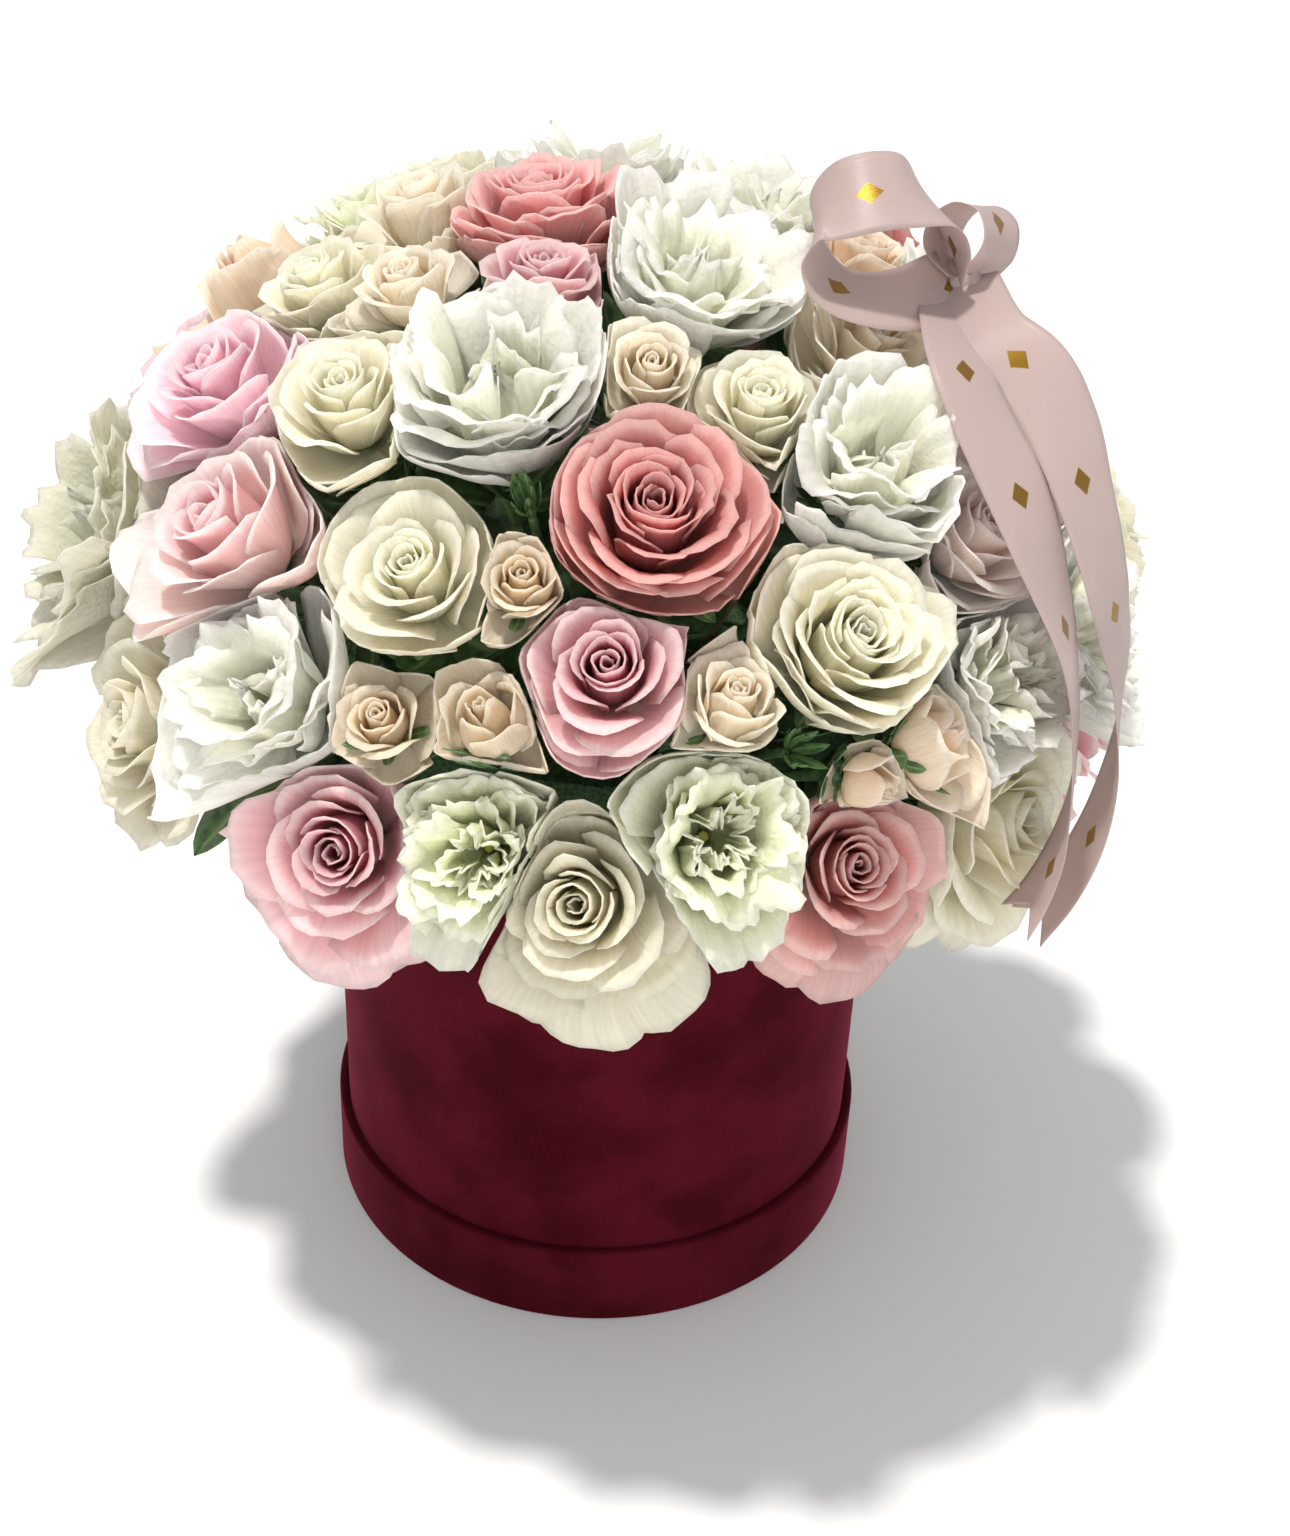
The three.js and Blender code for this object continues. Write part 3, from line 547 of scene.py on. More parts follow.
# %% A petal as a sheet
def petal_sheet(head, rng, angle, half, reach, top, angles, rows, columns, arch, waves, tip=0.03, slant=0.0,
                roll=0.0, cup=0.0, ruffle=0.0, low=-NECK, droop=0.0, crumple=0.0, level=False):
    """The middle surface of a petal as rows of points, before its neighbours press it, and its coordinates.

    The petal stands at an angle round the head, half as wide as half says in radians, and reaches out and up
    to reach and top. arch, tip and slant shape its outline, roll, cup, ruffle, waves, droop and crumple bend it.
    """
    across, along = np.meshgrid(np.linspace(-1, 1, columns), np.linspace(0, 1, rows) ** 0.85)
    edge = np.abs(across)
    way = along * (1 - arch * edge ** 2.6 + tip * np.exp(-(across / 0.3) ** 2))
    radius, height = side_view(np.minimum(way, 1), angles, reach, low, top)
    open_up = np.clip(along / 0.45, 0, 1)
    spread = half * (0.5 + 0.5 * open_up * open_up * (3 - 2 * open_up))
    turn = angle + across * spread
    radius = radius * (1 + slant * across * along)
    rolled = np.clip((edge - 0.4) / 0.6, 0, 1) ** 2 * np.clip((along - 0.3) / 0.7, 0, 1)
    radius = radius + 0.35 * roll * rolled
    height = height - roll * rolled + cup * (across ** 2 - 0.25) * along
    phase = rng.uniform(0, 2 * math.pi, 4)
    lip = math.radians(angles[3])
    wave = np.sin(math.pi * waves * across + phase[0]) + 0.45 * np.sin(2.3 * math.pi * waves * across + phase[1])
    push = ruffle * along ** 2.4 * wave
    radius = radius + push * abs(math.cos(lip)) - 0.04 * reach * along * (np.sin(2 * across + phase[2]) - 0.3)
    height = height + push * abs(math.sin(lip)) + 0.03 * along * np.sin(3 * across + phase[3])
    height = height - droop * along ** 2
    flute = 0.4 * ruffle * along ** 5 * np.sin(3.1 * math.pi * waves * across + phase[2])
    radius, height = radius + flute, height + flute
    for _ in range(5 if crumple else 0):
        fold = np.sin(rng.uniform(1.5, 7) * across + rng.uniform(-5, 5) * along + rng.uniform(0, 2 * math.pi))
        share = crumple * rng.uniform(0.3, 1.0) * along ** 0.8
        radius = radius + share * fold * rng.choice([-1, 1])
        height = height + share * fold
    return head.at(turn, np.maximum(radius, 0.02), height, level), np.stack([(across + 1) / 2, along], axis=-1)


def add_petal(builder, head, rng, inner, *where, **shape):
    """Adds a petal pressed by its neighbours. inner is 0 for the outermost and 1 for the innermost."""
    sheet, place = petal_sheet(head, rng, *where, **shape)
    sheet = pressed(sheet, head)
    petal = np.concatenate([place, np.full(place.shape[:2] + (1,), inner)], axis=-1)
    builder.add_sheet(sheet, PETAL, petal, rng.random())


print("petals are", PETAL, "mm thick")

# %% [markdown]
# ## Roses
#
# A rose opens from a tight spiral. Each petal stands 137.5 degrees on from the last one, which is the turn
# that plants use, and lies a little further out. The inner ones wrap round the heart, the middle ones cup,
# and the outer ones lie open with their lips rolled back. The rims draw the swirl that makes it a rose.

# %% Shapes of the kinds of head
# Rim height over the bloom's middle, by reach, both in head radii, as in the solids. Zones are the number of
# petals and their reach from the first to the last: the heart, the cup, the open petals and the guard petals.
KINDS = {
    "full_rose": {"stem": 2.6, "reach": (0.3, 0.6, 0.98, 1.5), "rim": (0.32, 0.3, 0.14, -0.12),
                  "zones": ((13, 0.06, 0.42), (14, 0.47, 1.0), (7, 1.06, 1.42), (7, 1.45, 1.85))},
    "rose": {"stem": 2.5, "reach": (0.3, 0.8, 1.46), "rim": (0.4, 0.26, -0.08),
             "zones": ((10, 0.06, 0.42), (6, 0.5, 0.9), (4, 1.0, 1.32), (7, 1.42, 1.9))},
    "hanging_rose": {"stem": 2.5, "reach": (0.3, 0.76, 1.3), "rim": (0.4, 0.28, -0.06),
                     "zones": ((10, 0.06, 0.42), (6, 0.5, 0.84), (4, 0.95, 1.22), (6, 1.3, 1.7))},
    "spray_rose": {"stem": 1.8, "reach": (0.3, 0.74, 1.34), "rim": (0.46, 0.4, -0.04),
                   "zones": ((8, 0.07, 0.4), (5, 0.48, 0.78), (4, 0.88, 1.14), (6, 1.36, 1.8))},
    "spray_rose_with_sepals": {"stem": 1.8, "reach": (0.3, 0.72, 1.3), "rim": (0.46, 0.4, -0.04),
                               "zones": ((8, 0.07, 0.4), (5, 0.48, 0.76), (4, 0.86, 1.08), (6, 1.3, 1.6))},
    "spray_bud": {"stem": 1.8, "reach": (0.3, 0.5, 0.95), "rim": (0.56, 0.56, 0.34),
                  "zones": ((6, 0.06, 0.26), (4, 0.4, 0.66), (4, 0.8, 0.98), (5, 1.2, 1.5))},
    "lisianthus": {"stem": 2.0},
    "sprig": {"stem": 1.6},
}
# Angles to the axis at foot, belly, shoulder and lip, for the first and the last petal of each zone.
BENDS = {
    "rose": (((32, 2, -14, 0), (64, 8, -4, 40)), ((70, 10, -2, 52), (80, 34, 26, 84)),
             ((84, 44, 40, 88), (87, 58, 54, 100)), ((88, 66, 62, 92), (88, 74, 72, 104))),
    "spray_rose": (((30, 0, -16, -4), (60, 4, -12, 14)), ((68, 6, -10, 22), (76, 14, -4, 50)),
                   ((80, 20, 2, 66), (84, 30, 12, 92)), ((88, 64, 62, 92), (88, 74, 74, 106))),
    "spray_bud": (((28, 4, -20, -16), (50, 2, -18, -6)), ((62, 2, -18, -8), (74, 6, -18, 4)),
                  ((80, 12, -14, 16), (84, 16, -10, 40)), ((88, 64, 62, 92), (88, 74, 74, 106))),
}
BENDS["spray_rose_with_sepals"] = BENDS["spray_rose"]
print("petals in a full rose:", sum(zone[0] for zone in KINDS["full_rose"]["zones"]))

# %% Backing petals
def add_backing(builder, head, rng):
    """Wide petals behind a low or small head, which lie up the dome and close the gap to the next row."""
    low, small = head.low, head.radius < 18
    count = 4 if low else 3 if small else 0
    for i in range(count):
        turn = head.corner_near(math.pi + (i - 1.5) * 0.8) if low else head.corner_near((i - 1) * 0.9)
        reach = min(head.room(turn) * rng.uniform(1.3, 1.6), 1.45 if head.hangs(turn) else 3.2)
        add_petal(
            builder, head, rng, 0.0, turn, 0.62, reach, rng.uniform(-0.05, 0.12) if low else -0.3, (86, 66, 64, 80),
            rows=9, columns=11, arch=0.2, ruffle=0.05, waves=rng.uniform(1.2, 2.4), crumple=0.02, level=True,
        )


print("low heads:", sum(head.low for head in heads))

# %% Rose heads
GOLDEN_TURN = 2.39996  # 137.5 degrees in radians
# By zone: half the width of the first and last petal in radians, and arch, tip, slant, roll, cup, ruffle, crumple.
ZONES = (
    ((1.75, 1.2), 0.1, 0.0, 0.12, 0.0, 0.0, 0.01, 0.0), ((1.12, 0.94), 0.2, 0.03, 0.09, 0.1, 0.0, 0.026, 0.004),
    ((0.98, 0.9), 0.26, 0.05, 0.06, 0.2, 0.02, 0.04, 0.008), ((0.9, 0.9), 0.22, 0.03, 0.04, 0.1, 0.0, 0.05, 0.014),
)
GUARD = 3  # the zone of the guard petals


def guard_reach(head, rng, room, angle):
    """A guard petal goes on past the border, where it is pressed up, but hangs no further than the photo's do."""
    return float(np.clip(room * rng.uniform(1.2, 1.45), 1.1, 1.4 if head.hangs(angle) else 2.9))


def add_rose(builder, head, rng):
    """The petals of a rose, from the heart outwards."""
    kind = KINDS[head.kind]
    bends = BENDS.get(head.kind, BENDS["rose"])
    full, small = head.kind == "full_rose", head.radius < 22
    rim_reach, rim_height = (0.06,) + kind["reach"], (kind["rim"][0] - 0.14,) + kind["rim"]
    total = sum(zone[0] for zone in kind["zones"])
    number = 0
    turn = rng.uniform(0, 2 * math.pi)
    for zone, (count, first, last) in enumerate(kind["zones"]):
        guard = zone == GUARD
        halves, arch, tip, slant, roll, cup, ruffle, crumple = ZONES[zone]
        for i in range(count):
            share = i / max(count - 1, 1)
            u = number / (total - 1)
            number += 1
            turn += GOLDEN_TURN + rng.uniform(-0.15, 0.15)
            if guard:
                turn += 2 * math.pi / count - GOLDEN_TURN
            reach = first + (last - first) * share
            top = float(np.interp(reach, rim_reach, rim_height)) + rng.uniform(-0.03, 0.03)
            angle = head.corner_near(turn) + rng.uniform(-0.08, 0.08) if guard else turn
            room = head.room(angle)
            if guard:
                reach = guard_reach(head, rng, room, angle)
                top = min(rim_height[-1], 0.0) - rng.uniform(0.02, 0.2) - (0.2 if small else 0.06) * (reach - 1.1)
            else:
                reach = min(reach, room * rng.uniform(0.92, 1.08))
            angles = [a + (b - a) * share for a, b in zip(*bends[zone])]
            angles[3] += rng.uniform(-14, 14)
            if guard:
                halves = (0.92 * (1.3 / reach) ** 0.5,) * 2
            half = (halves[0] + (halves[1] - halves[0]) * share) * (0.84 if full and zone else 1.0)
            half = half * rng.uniform(0.92, 1.08)
            add_petal(
                builder, head, rng, 1 - u, angle, half, reach, top, angles,
                rows=7 if small else 9, columns=9 if small or not zone else 11, arch=arch, tip=tip, slant=slant,
                roll=roll * rng.uniform(0.3, 1.4), cup=cup, ruffle=ruffle * (1.25 if full else 1.0),
                waves=rng.uniform(1.0, 2.2), low=-NECK + 0.25 * (1 - u), crumple=crumple, level=guard,
            )
    for i in range(3 if head.kind == "hanging_rose" else 0):
        add_petal(
            builder, head, rng, 0.0, (i - 1) * 0.72 + rng.uniform(-0.12, 0.12), 0.66, 1.66 - 0.1 * abs(i - 1), -0.42,
            (88, 74, 92, 118), rows=10, columns=13, arch=0.3, tip=0.08, roll=0.1, cup=-0.1, ruffle=0.03,
            waves=rng.uniform(1, 1.8), droop=0.2, crumple=0.012,
        )
    add_backing(builder, head, rng)


print("turn between petals, degrees:", round(math.degrees(GOLDEN_TURN), 1))

# %% [markdown]
# ## Lisianthus
#
# A lisianthus has fewer, wider and thinner petals than a rose. They open like a cup that somebody crumpled:
# broad folds run down each one and the rim is fluted. In the middle stands a short green pistil with two
# pale lobes and a few yellow stamens. The petals are made as before, with more waves and folds. The pistil
# and the stamens are small turned rods, because no more of them shows.


# %% Lisianthus heads
# By whorl, from the outermost: petals, reach, height of the rim, half the width, angles and crumpling.
WHORLS = {
    "open": ((5, 2.6, -0.14, 0.95, (86, 66, 66, 88), 0.03), (5, 1.5, 0.04, 1.05, (82, 52, 50, 98), 0.04),
             (4, 1.14, 0.24, 1.2, (76, 30, 30, 92), 0.055), (4, 0.78, 0.3, 1.25, (66, 14, 8, 64), 0.06),
             (3, 0.34, 0.16, 1.6, (60, 0, -24, -10), 0.04)),
    "dense": ((6, 2.2, -0.1, 0.95, (86, 66, 66, 88), 0.04), (5, 1.34, 0.1, 1.0, (82, 52, 48, 92), 0.055),
              (5, 1.04, 0.28, 1.0, (78, 36, 30, 84), 0.065), (5, 0.68, 0.34, 1.05, (68, 22, 14, 66), 0.07),
              (5, 0.33, 0.3, 1.1, (52, 14, 0, 34), 0.06)),
}


def add_lisianthus(builder, head, rng):
    """The petals of a lisianthus, whorl by whorl, from the outside in."""
    start = rng.uniform(0, 2 * math.pi)
    dense = head.radius < 28.5
    whorls = WHORLS["dense" if dense else "open"]
    flute = 0.1 if dense else 0.085
    lower = 0.34 if head.out[2] > 0.8 and head.middle[1] > 0 else 0  # at the back of the crown, the rims lie flatter
    longest = 50 if head.low else 62  # millimetres
    for layer, (count, wide, top, half, angles, crumple) in enumerate(whorls):
        inner = layer / (len(whorls) - 1)
        for i in range(count):
            turn = start + (i + rng.uniform(-0.28, 0.28)) / count * 2 * math.pi
            drops = head.hangs(turn)
            turn = turn if layer or drops else head.corner_near(turn)
            bent = [a + rng.uniform(-16, 16) for a in angles]
            room = head.room(turn) * (rng.uniform(0.88, 1.04) if layer else rng.uniform(1.2, 1.4))
            reach = min(wide * rng.uniform(0.84, 1.08), room, 1.45 if drops else longest / head.radius)
            add_petal(
                builder, head, rng, inner, turn, half * rng.uniform(0.8, 1.2), reach,
                top + rng.uniform(-0.2, 0.16) - lower, bent, rows=10 if dense else 11, columns=23 if dense else 25,
                arch=0.16, slant=rng.uniform(-0.2, 0.2), roll=rng.uniform(0, 0.14), cup=rng.uniform(-0.2, 0.2),
                ruffle=flute if layer else 0.6 * flute, waves=rng.uniform(1.7, 2.9), low=-NECK + 0.3 * inner,
                crumple=crumple, level=not layer,
            )
        start += math.pi / count + 0.4
    add_backing(builder, head, rng)


print("petals in a lisianthus:", [sum(whorl[0] for whorl in whorls) for whorls in WHORLS.values()])

# %% Pistil and stamens
STAMENS = 6


def add_eye(builder, head, rng, look):
    """The pistil, and the stamens round it."""
    sides = np.linspace(0, 2 * math.pi, 9)[:-1]
    profile = ((0.09, -0.92), (0.1, -0.8), (0.05, -0.7), (0.04, -0.62), (0.07, -0.57), (0.06, -0.54), (0.02, -0.52))
    builder.add_rings([head.at(sides, np.full(8, r), np.full(8, h)) for r, h in profile], look=look)
    for i in range(STAMENS):
        turn = i / STAMENS * 2 * math.pi + rng.uniform(-0.3, 0.3)
        small = np.linspace(0, 2 * math.pi, 6)[:-1]
        rings = []
        for along, wide in ((0, 0.012), (0.6, 0.012), (0.75, 0.03), (0.9, 0.03), (1.0, 0.01)):
            out = 0.08 + 0.13 * along
            x = out * math.cos(turn) + wide * np.cos(small)
            y = out * math.sin(turn) + wide * np.sin(small)
            rings.append(head.at(np.arctan2(y, x), np.hypot(x, y), np.full(5, -0.82 + 0.26 * along)))
        builder.add_rings(rings, look=look)


print("stamens in a lisianthus:", STAMENS)

# %% [markdown]
# ## Green parts
#
# Under every head is a small cup, the calyx, with five narrow sepals. Below that is the stem, which runs
# down its hole into the foam. A florist also tucks leaves between the heads and round the rim of the box, so
# that no foam shows. A leaf is a petal sheet with a narrow outline and a fold along its middle rib.


# %% A leaf and a stem
RIB_FOLD = 0.25  # how steeply a blade rises from its rib


def add_leaf(builder, head, rng, angle, start, end, wide, rows=9, columns=5):
    """A narrow blade between two points given as (radius, height) beside a head's axis, pressed by its neighbours."""
    across, along = np.meshgrid(np.linspace(-1, 1, columns), np.linspace(0, 1, rows))
    shape = np.sin(math.pi * np.clip(along * 0.93 + 0.07, 0, 1)) ** 0.8
    radius = start[0] + (end[0] - start[0]) * along + 0.12 * np.sin(math.pi * along)
    height = start[1] + (end[1] - start[1]) * along
    sideways = wide * shape * across
    height = height + RIB_FOLD * wide * shape * np.abs(across)
    x = radius * math.cos(angle) - sideways * math.sin(angle)
    y = radius * math.sin(angle) + sideways * math.cos(angle)
    grid = head.at(np.arctan2(y, x), np.hypot(x, y), height)
    place = np.stack([(across + 1) / 2, along, np.full(across.shape, rng.random())], axis=-1)
    builder.add_sheet(pressed(grid, head), LEAF, place, rng.random())


def add_rod(builder, low, high, radius):
    """A round stem between two points."""
    along = unit(high - low)
    side = unit(np.cross(along, [0.3, 0.9, 0.1]))
    other = np.cross(along, side)
    turn = np.linspace(0, 2 * math.pi, 9)[:-1, None]
    ring = radius * (np.cos(turn) * side + np.sin(turn) * other)
    builder.add_rings([low + ring, (low + high) / 2 + ring, high + ring])


print("leaves are", LEAF, "mm thick")

# %% Green parts of a head
SEPALS, LEAVES, LOW_LEAVES = 5, 5, 3


def add_green(builder, head, main, rng):
    """The stem, the calyx, the sepals and the leaves. main is the head that ends the stem."""
    kind = KINDS[head.kind]
    foot = head.middle - head.axis * (NECK * head.radius + CALYX)
    if head is main:
        add_rod(builder, ROOT + head.out * STEM_END, foot + head.axis, kind["stem"] * 0.9)
    else:
        add_rod(builder, ROOT + main.out * SHOOT_AT, foot + head.axis, kind["stem"] * 0.8)
    if head.kind == "sprig":
        for i in range(11):
            tall = rng.uniform(0.6, 1.5)
            add_leaf(builder, head, rng, rng.uniform(0, 2 * math.pi), (0.1, -1.2), (rng.uniform(0.3, 1.15), tall),
                     rng.uniform(0.16, 0.3))
        return
    r = head.radius
    sides = np.linspace(0, 2 * math.pi, 11)[:-1]
    thick = kind["stem"] / r
    profile = ((thick, -NECK - CALYX / r), (thick * 1.5, -NECK - 4 / r), (thick * 1.9, -NECK - 1 / r),
               (0.2, -NECK + 0.05), (0.14, -NECK + 0.1))
    builder.add_rings([head.at(sides, np.full(10, a), np.full(10, h)) for a, h in profile])
    side_on = head.kind in ("spray_bud", "spray_rose_with_sepals")
    start = rng.uniform(0, 2 * math.pi)
    for i in range(SEPALS):
        length = rng.uniform(0.95, 1.25) if side_on else rng.uniform(0.75, 1.0)
        end = (length, -0.4 + rng.uniform(-0.2, 0.3)) if side_on else (length, -0.8 + rng.uniform(-0.25, 0.1))
        add_leaf(builder, head, rng, start + i / SEPALS * 2 * math.pi, (0.12, -NECK), end, 0.15 if side_on else 0.1)
    for i in range(LEAVES):
        add_leaf(builder, head, rng, start + (i + rng.uniform(-0.3, 0.3)) / LEAVES * 2 * math.pi, (0.1, -1.6),
                 (rng.uniform(1.0, 1.5), rng.uniform(-1.15, -0.75)), rng.uniform(0.26, 0.4))
    if head.out[2] <= 0.3 or r <= 18:
        return
    for i in range(LOW_LEAVES):  # these fill the gaps between the stems of the wide upper heads
        add_leaf(builder, head, rng, start + (i + rng.uniform(-0.2, 0.2)) / LOW_LEAVES * 2 * math.pi, (0.1, -2.7),
                 (rng.uniform(1.1, 1.4), rng.uniform(-2.1, -1.8)), 0.62, rows=5, columns=3)


print("sepals under a head:", SEPALS)

# %% [markdown]
# ## Petal materials
#
# A petal is thin, wet tissue: most light that enters it comes out again on the same side, some comes out on
# the other, and its surface has a faint satin gloss. So it is a rough Principled shader mixed with a
# Translucent one of the same colour. The colour runs from a yellow-green foot to the body and a paler rim,
# is deeper towards the heart and paler on the outermost petals, which bleach first. Fine veins run from the
# foot to the rim: real ones are under half a millimetre apart, and they are drawn about a millimetre apart, so
# that they show at all. The wrinkles are about 2.4 mm apart, and strong on lisianthus.


# %% Petal material
VEINS = 34.0  # across a petal of about 35 mm


def petal_material(name, rim, body, heart, foot, through=0.6, crinkle=0.22):
    """A petal in four colours. through is the share of light let through, crinkle the strength of the wrinkles."""
    material, shader = new_material(name)
    place = add_node(material, "Attribute", {"attribute_name": "petal"}, out="Vector")
    chance = add_node(material, "Attribute", {"attribute_name": "chance"}, out="Fac")
    across, along, inner = add_node(material, "SeparateXYZ", inputs={0: place}).node.outputs
    deep = add_node(material, "MapRange", SMOOTH, {0: inner, 1: 0.3, 2: 0.95})
    shade = add_node(material, "Mix", BLEND, {0: deep, 6: linear(body), 7: linear(heart)}, 2)
    near_foot = add_node(material, "MapRange", SMOOTH, {0: along, 1: 0.5, 2: 0.05})
    shade = add_node(material, "Mix", BLEND, {0: near_foot, 6: shade, 7: linear(foot)}, 2)
    edge = add_node(material, "MapRange", SMOOTH, {0: along, 1: 0.78, 2: 1.0, 4: 0.75})
    outer = add_node(material, "MapRange", SMOOTH, {0: inner, 1: 0.22, 2: 0.02, 4: 0.6})
    pale = add_node(material, "Math", {"operation": "MAXIMUM"}, {0: edge, 1: outer})
    shade = add_node(material, "Mix", BLEND, {0: pale, 6: shade, 7: linear(rim)}, 2)
    spot = add_node(material, "CombineXYZ", inputs={0: across, 1: along, 2: chance})
    stretched = add_node(material, "VectorMath", {"operation": "MULTIPLY"}, {0: spot, 1: (VEINS, 2.5, 90.0)})
    veins = add_node(material, "TexNoise", inputs={"Vector": stretched, "Scale": 1.0, "Detail": 1.0})
    tone = add_node(material, "MapRange", SMOOTH, {0: veins, 1: 0.3, 2: 0.7, 3: 0.95, 4: 1.02})
    spread = add_node(material, "MapRange", SMOOTH, {0: chance, 3: 0.94, 4: 1.04})
    bright = add_node(material, "Math", {"operation": "MULTIPLY"}, {0: tone, 1: spread})
    shade = add_node(material, "HueSaturation", inputs={"Value": bright, "Color": shade})
    at = add_node(material, "TexCoord", out="Object")
    wrinkles = add_node(material, "TexNoise", inputs={"Vector": at, "Scale": per_metre(2.38), "Detail": 1.0})
    relief = add_node(material, "Math", {"operation": "MULTIPLY_ADD"}, {0: wrinkles, 1: 4.0 * crinkle, 2: veins})
    bump = add_node(material, "Bump", inputs={"Strength": 0.5, "Distance": 0.0005, "Height": relief})
    set_inputs(shader, {"Base Color": shade, "Normal": bump, "Roughness": 0.62, "IOR": 1.4, "Specular IOR Level": 0.35})
    let_through(material, shader, through, shade, Normal=bump)
    return material


print("a petal is drawn with", VEINS, "veins")

# %% Colours of the petals
# By colour: the slot, the material's name, and the rim, the body, the heart and the foot.
PETALS = {
    colour: (slot + "_petal", petal_material(name + "_petal", *looks))
    for colour, slot, name, *looks in (
        ("dusky", "dusky", "dusky_rose", "#F6D8D3", "#EDB8B4", "#DC8083", "#EED6C0"),
        ("pink", "pink", "pink_rose", "#FCF0EF", "#F5D8DA", "#D88190", "#F4EADC"),
        ("bright", "pink", "bright_pink", "#FEF6F8", "#FDE9EE", "#F6C3D2", "#F8EEE4"),
        ("rosy", "dusky", "rosy", "#FBE6E3", "#F7CFCD", "#EC9BA1", "#F2DCCC"),
        ("pale", "pink", "pale_pink", "#FDF9F7", "#FBEDEA", "#F3BFC6", "#F6EDE2"),
        ("salmon", "salmon", "salmon_rose", "#F6E2DF", "#EEC3BF", "#D98685", "#EFDDCB"),
        ("blush", "salmon", "blush_rose", "#FFFCFA", "#FEF8F4", "#FBEBE3", "#FAF4EA"),
        ("white", "white", "white_rose", "#FBF9F0", "#F9F6E8", "#F8F6E2", "#EFEFD6"),
        # A darker copy of white: painted shade for the two low white roses, which lie in shade.
        ("ivory", "white", "white_rose_painted_shade", "#F6F3E8", "#F3EFE1", "#EFEBD6", "#E6E4CA"),
        ("cream", "cream", "cream_rose", "#FDFAF1", "#FCF7EB", "#F8E9CE", "#F4EFDA"),
        # A darker copy of cream: painted shade for the front spray roses, which lie in the shade of their neighbours.
        ("sand", "cream", "cream_rose_painted_shade", "#F7F1E4", "#F2E8D5", "#E6CCA4", "#E8E0C4"),
        ("peach", "peach", "peach_rose", "#FCF6EC", "#FAF0E0", "#F3D2B0", "#F0E7CE"),
        ("eustoma", "lisianthus", "white_lisianthus", "#FEFDFB", "#FCFCF7", "#FAFAEF", "#F1F3DC", 0.6, 0.8),
        # A darker copy of white lisianthus: painted shade for the far left head, which lies in shade.
        ("pearl", "lisianthus", "lisianthus_painted_shade", "#EFEDE4", "#EDEBDF", "#E9E9D6", "#E2E6C8", 0.55, 0.8),
        ("greenish", "lisianthus", "green_lisianthus", "#FCFCF4", "#F9FAEC", "#F4F6DF", "#E9EFCB", 0.6, 0.8),
    )
}
print("petal materials:", len(PETALS))


# %% [markdown]
# ## Leaves and pistils
#
# A leaf is thicker and waxier than a petal, so hardly any light comes through. It could be one plain green,
# but a flat green looks like plastic, so patches of a deeper green lie over it and the rib is paler. The rib
# is found from the place across the blade that every point keeps.

# %% Leaf material
# A living leaf is waxy: a half-gloss on a patchy green blade, with a paler rib. The patches are about 4 mm wide.
def leaf_material(name, blade, rib):
    material, shader = new_material(name)
    place = add_node(material, "Attribute", {"attribute_name": "petal"}, out="Vector")
    across = add_node(material, "SeparateXYZ", inputs={0: place})
    middle = add_node(material, "Math", {"operation": "SUBTRACT"}, {0: across, 1: 0.5})
    away = add_node(material, "Math", {"operation": "ABSOLUTE"}, {0: middle})
    ribbed = add_node(material, "MapRange", SMOOTH, {0: away, 2: 0.12, 3: 1.0, 4: 0.0})
    at = add_node(material, "TexCoord", out="Object")
    grain = add_node(material, "TexNoise", inputs={"Vector": at, "Scale": per_metre(3.85), "Detail": 3.0})
    patches = add_node(material, "MapRange", SMOOTH, {0: grain, 1: 0.35, 2: 0.7})
    patchy = add_node(material, "Mix", BLEND, {0: patches, 6: linear(blade), 7: linear("#3A5632")}, 2)
    shade = add_node(material, "Mix", BLEND, {0: ribbed, 6: patchy, 7: linear(rib)}, 2)
    bump = add_node(material, "Bump", inputs={"Strength": 0.3, "Distance": 0.0004, "Height": grain})
    set_inputs(shader, {"Base Color": shade, "Normal": bump, "Roughness": 0.48})
    return material


leaf_look = leaf_material("rose_leaf", "#587B4A", "#86A06A")
# The pistil is a matt yellow-green, with pollen on it in grains about a millimetre wide, coarser than real ones.
eye_look, eye_shader = new_material("pistil_and_pollen")
eye_place = add_node(eye_look, "TexCoord", out="Object")
pollen = add_node(eye_look, "TexNoise", inputs={"Vector": eye_place, "Scale": per_metre(1.111), "Detail": 2.0})
pollen = add_node(eye_look, "MapRange", SMOOTH, {0: pollen, 1: 0.4, 2: 0.6})
eye_shade = add_node(eye_look, "Mix", BLEND, {0: pollen, 6: linear("#B9C56A"), 7: linear("#D8C766")}, 2)
set_inputs(eye_shader, {"Base Color": eye_shade, "Roughness": 0.7})
print("leaf and pistil materials made")

# %% [markdown]
# ## Making every bloom
#
# Each stem gives two pieces: its petals, and its green parts. Both stand for the same solid of the frame,
# and they ride on the same body.

# %% Blooms
added = 0
for stem_name, (colour, _) in STEMS.items():
    own = [head for head in heads if head.stem == stem_name]
    petals, green = Builder(), Builder()
    for head in own:
        rng = np.random.default_rng(1000 + head.number)
        if head.kind == "lisianthus":
            add_lisianthus(petals, head, rng)
            add_eye(green, head, rng, look=1)
        elif head.kind != "sprig":
            add_rose(petals, head, rng)
        add_green(green, head, own[0], rng)
    if petals.points:
        slot_name, look = PETALS[colour]
        piece = petals.make(stem_name + "_petals", [look])
        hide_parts(stem_name)
        added += triangles(piece)
    piece = green.make(stem_name + "_green", [leaf_look, eye_look])
    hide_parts(stem_name)
    added += triangles(piece)
print("triangles in the blooms:", added)

# %% [markdown]
# ## The velvet box and its lid
#
# The box is a card tube with short-pile velvet glued round it, its edge turned in at the rim. The lid is
# slipped under the box as a stand. Both could be cylinders with a bevel, but the turned-in cloth gives a soft
# round edge and the lap of the cloth shows as a fine ridge at the back, so the wall is drawn as a profile and
# turned about the axis.

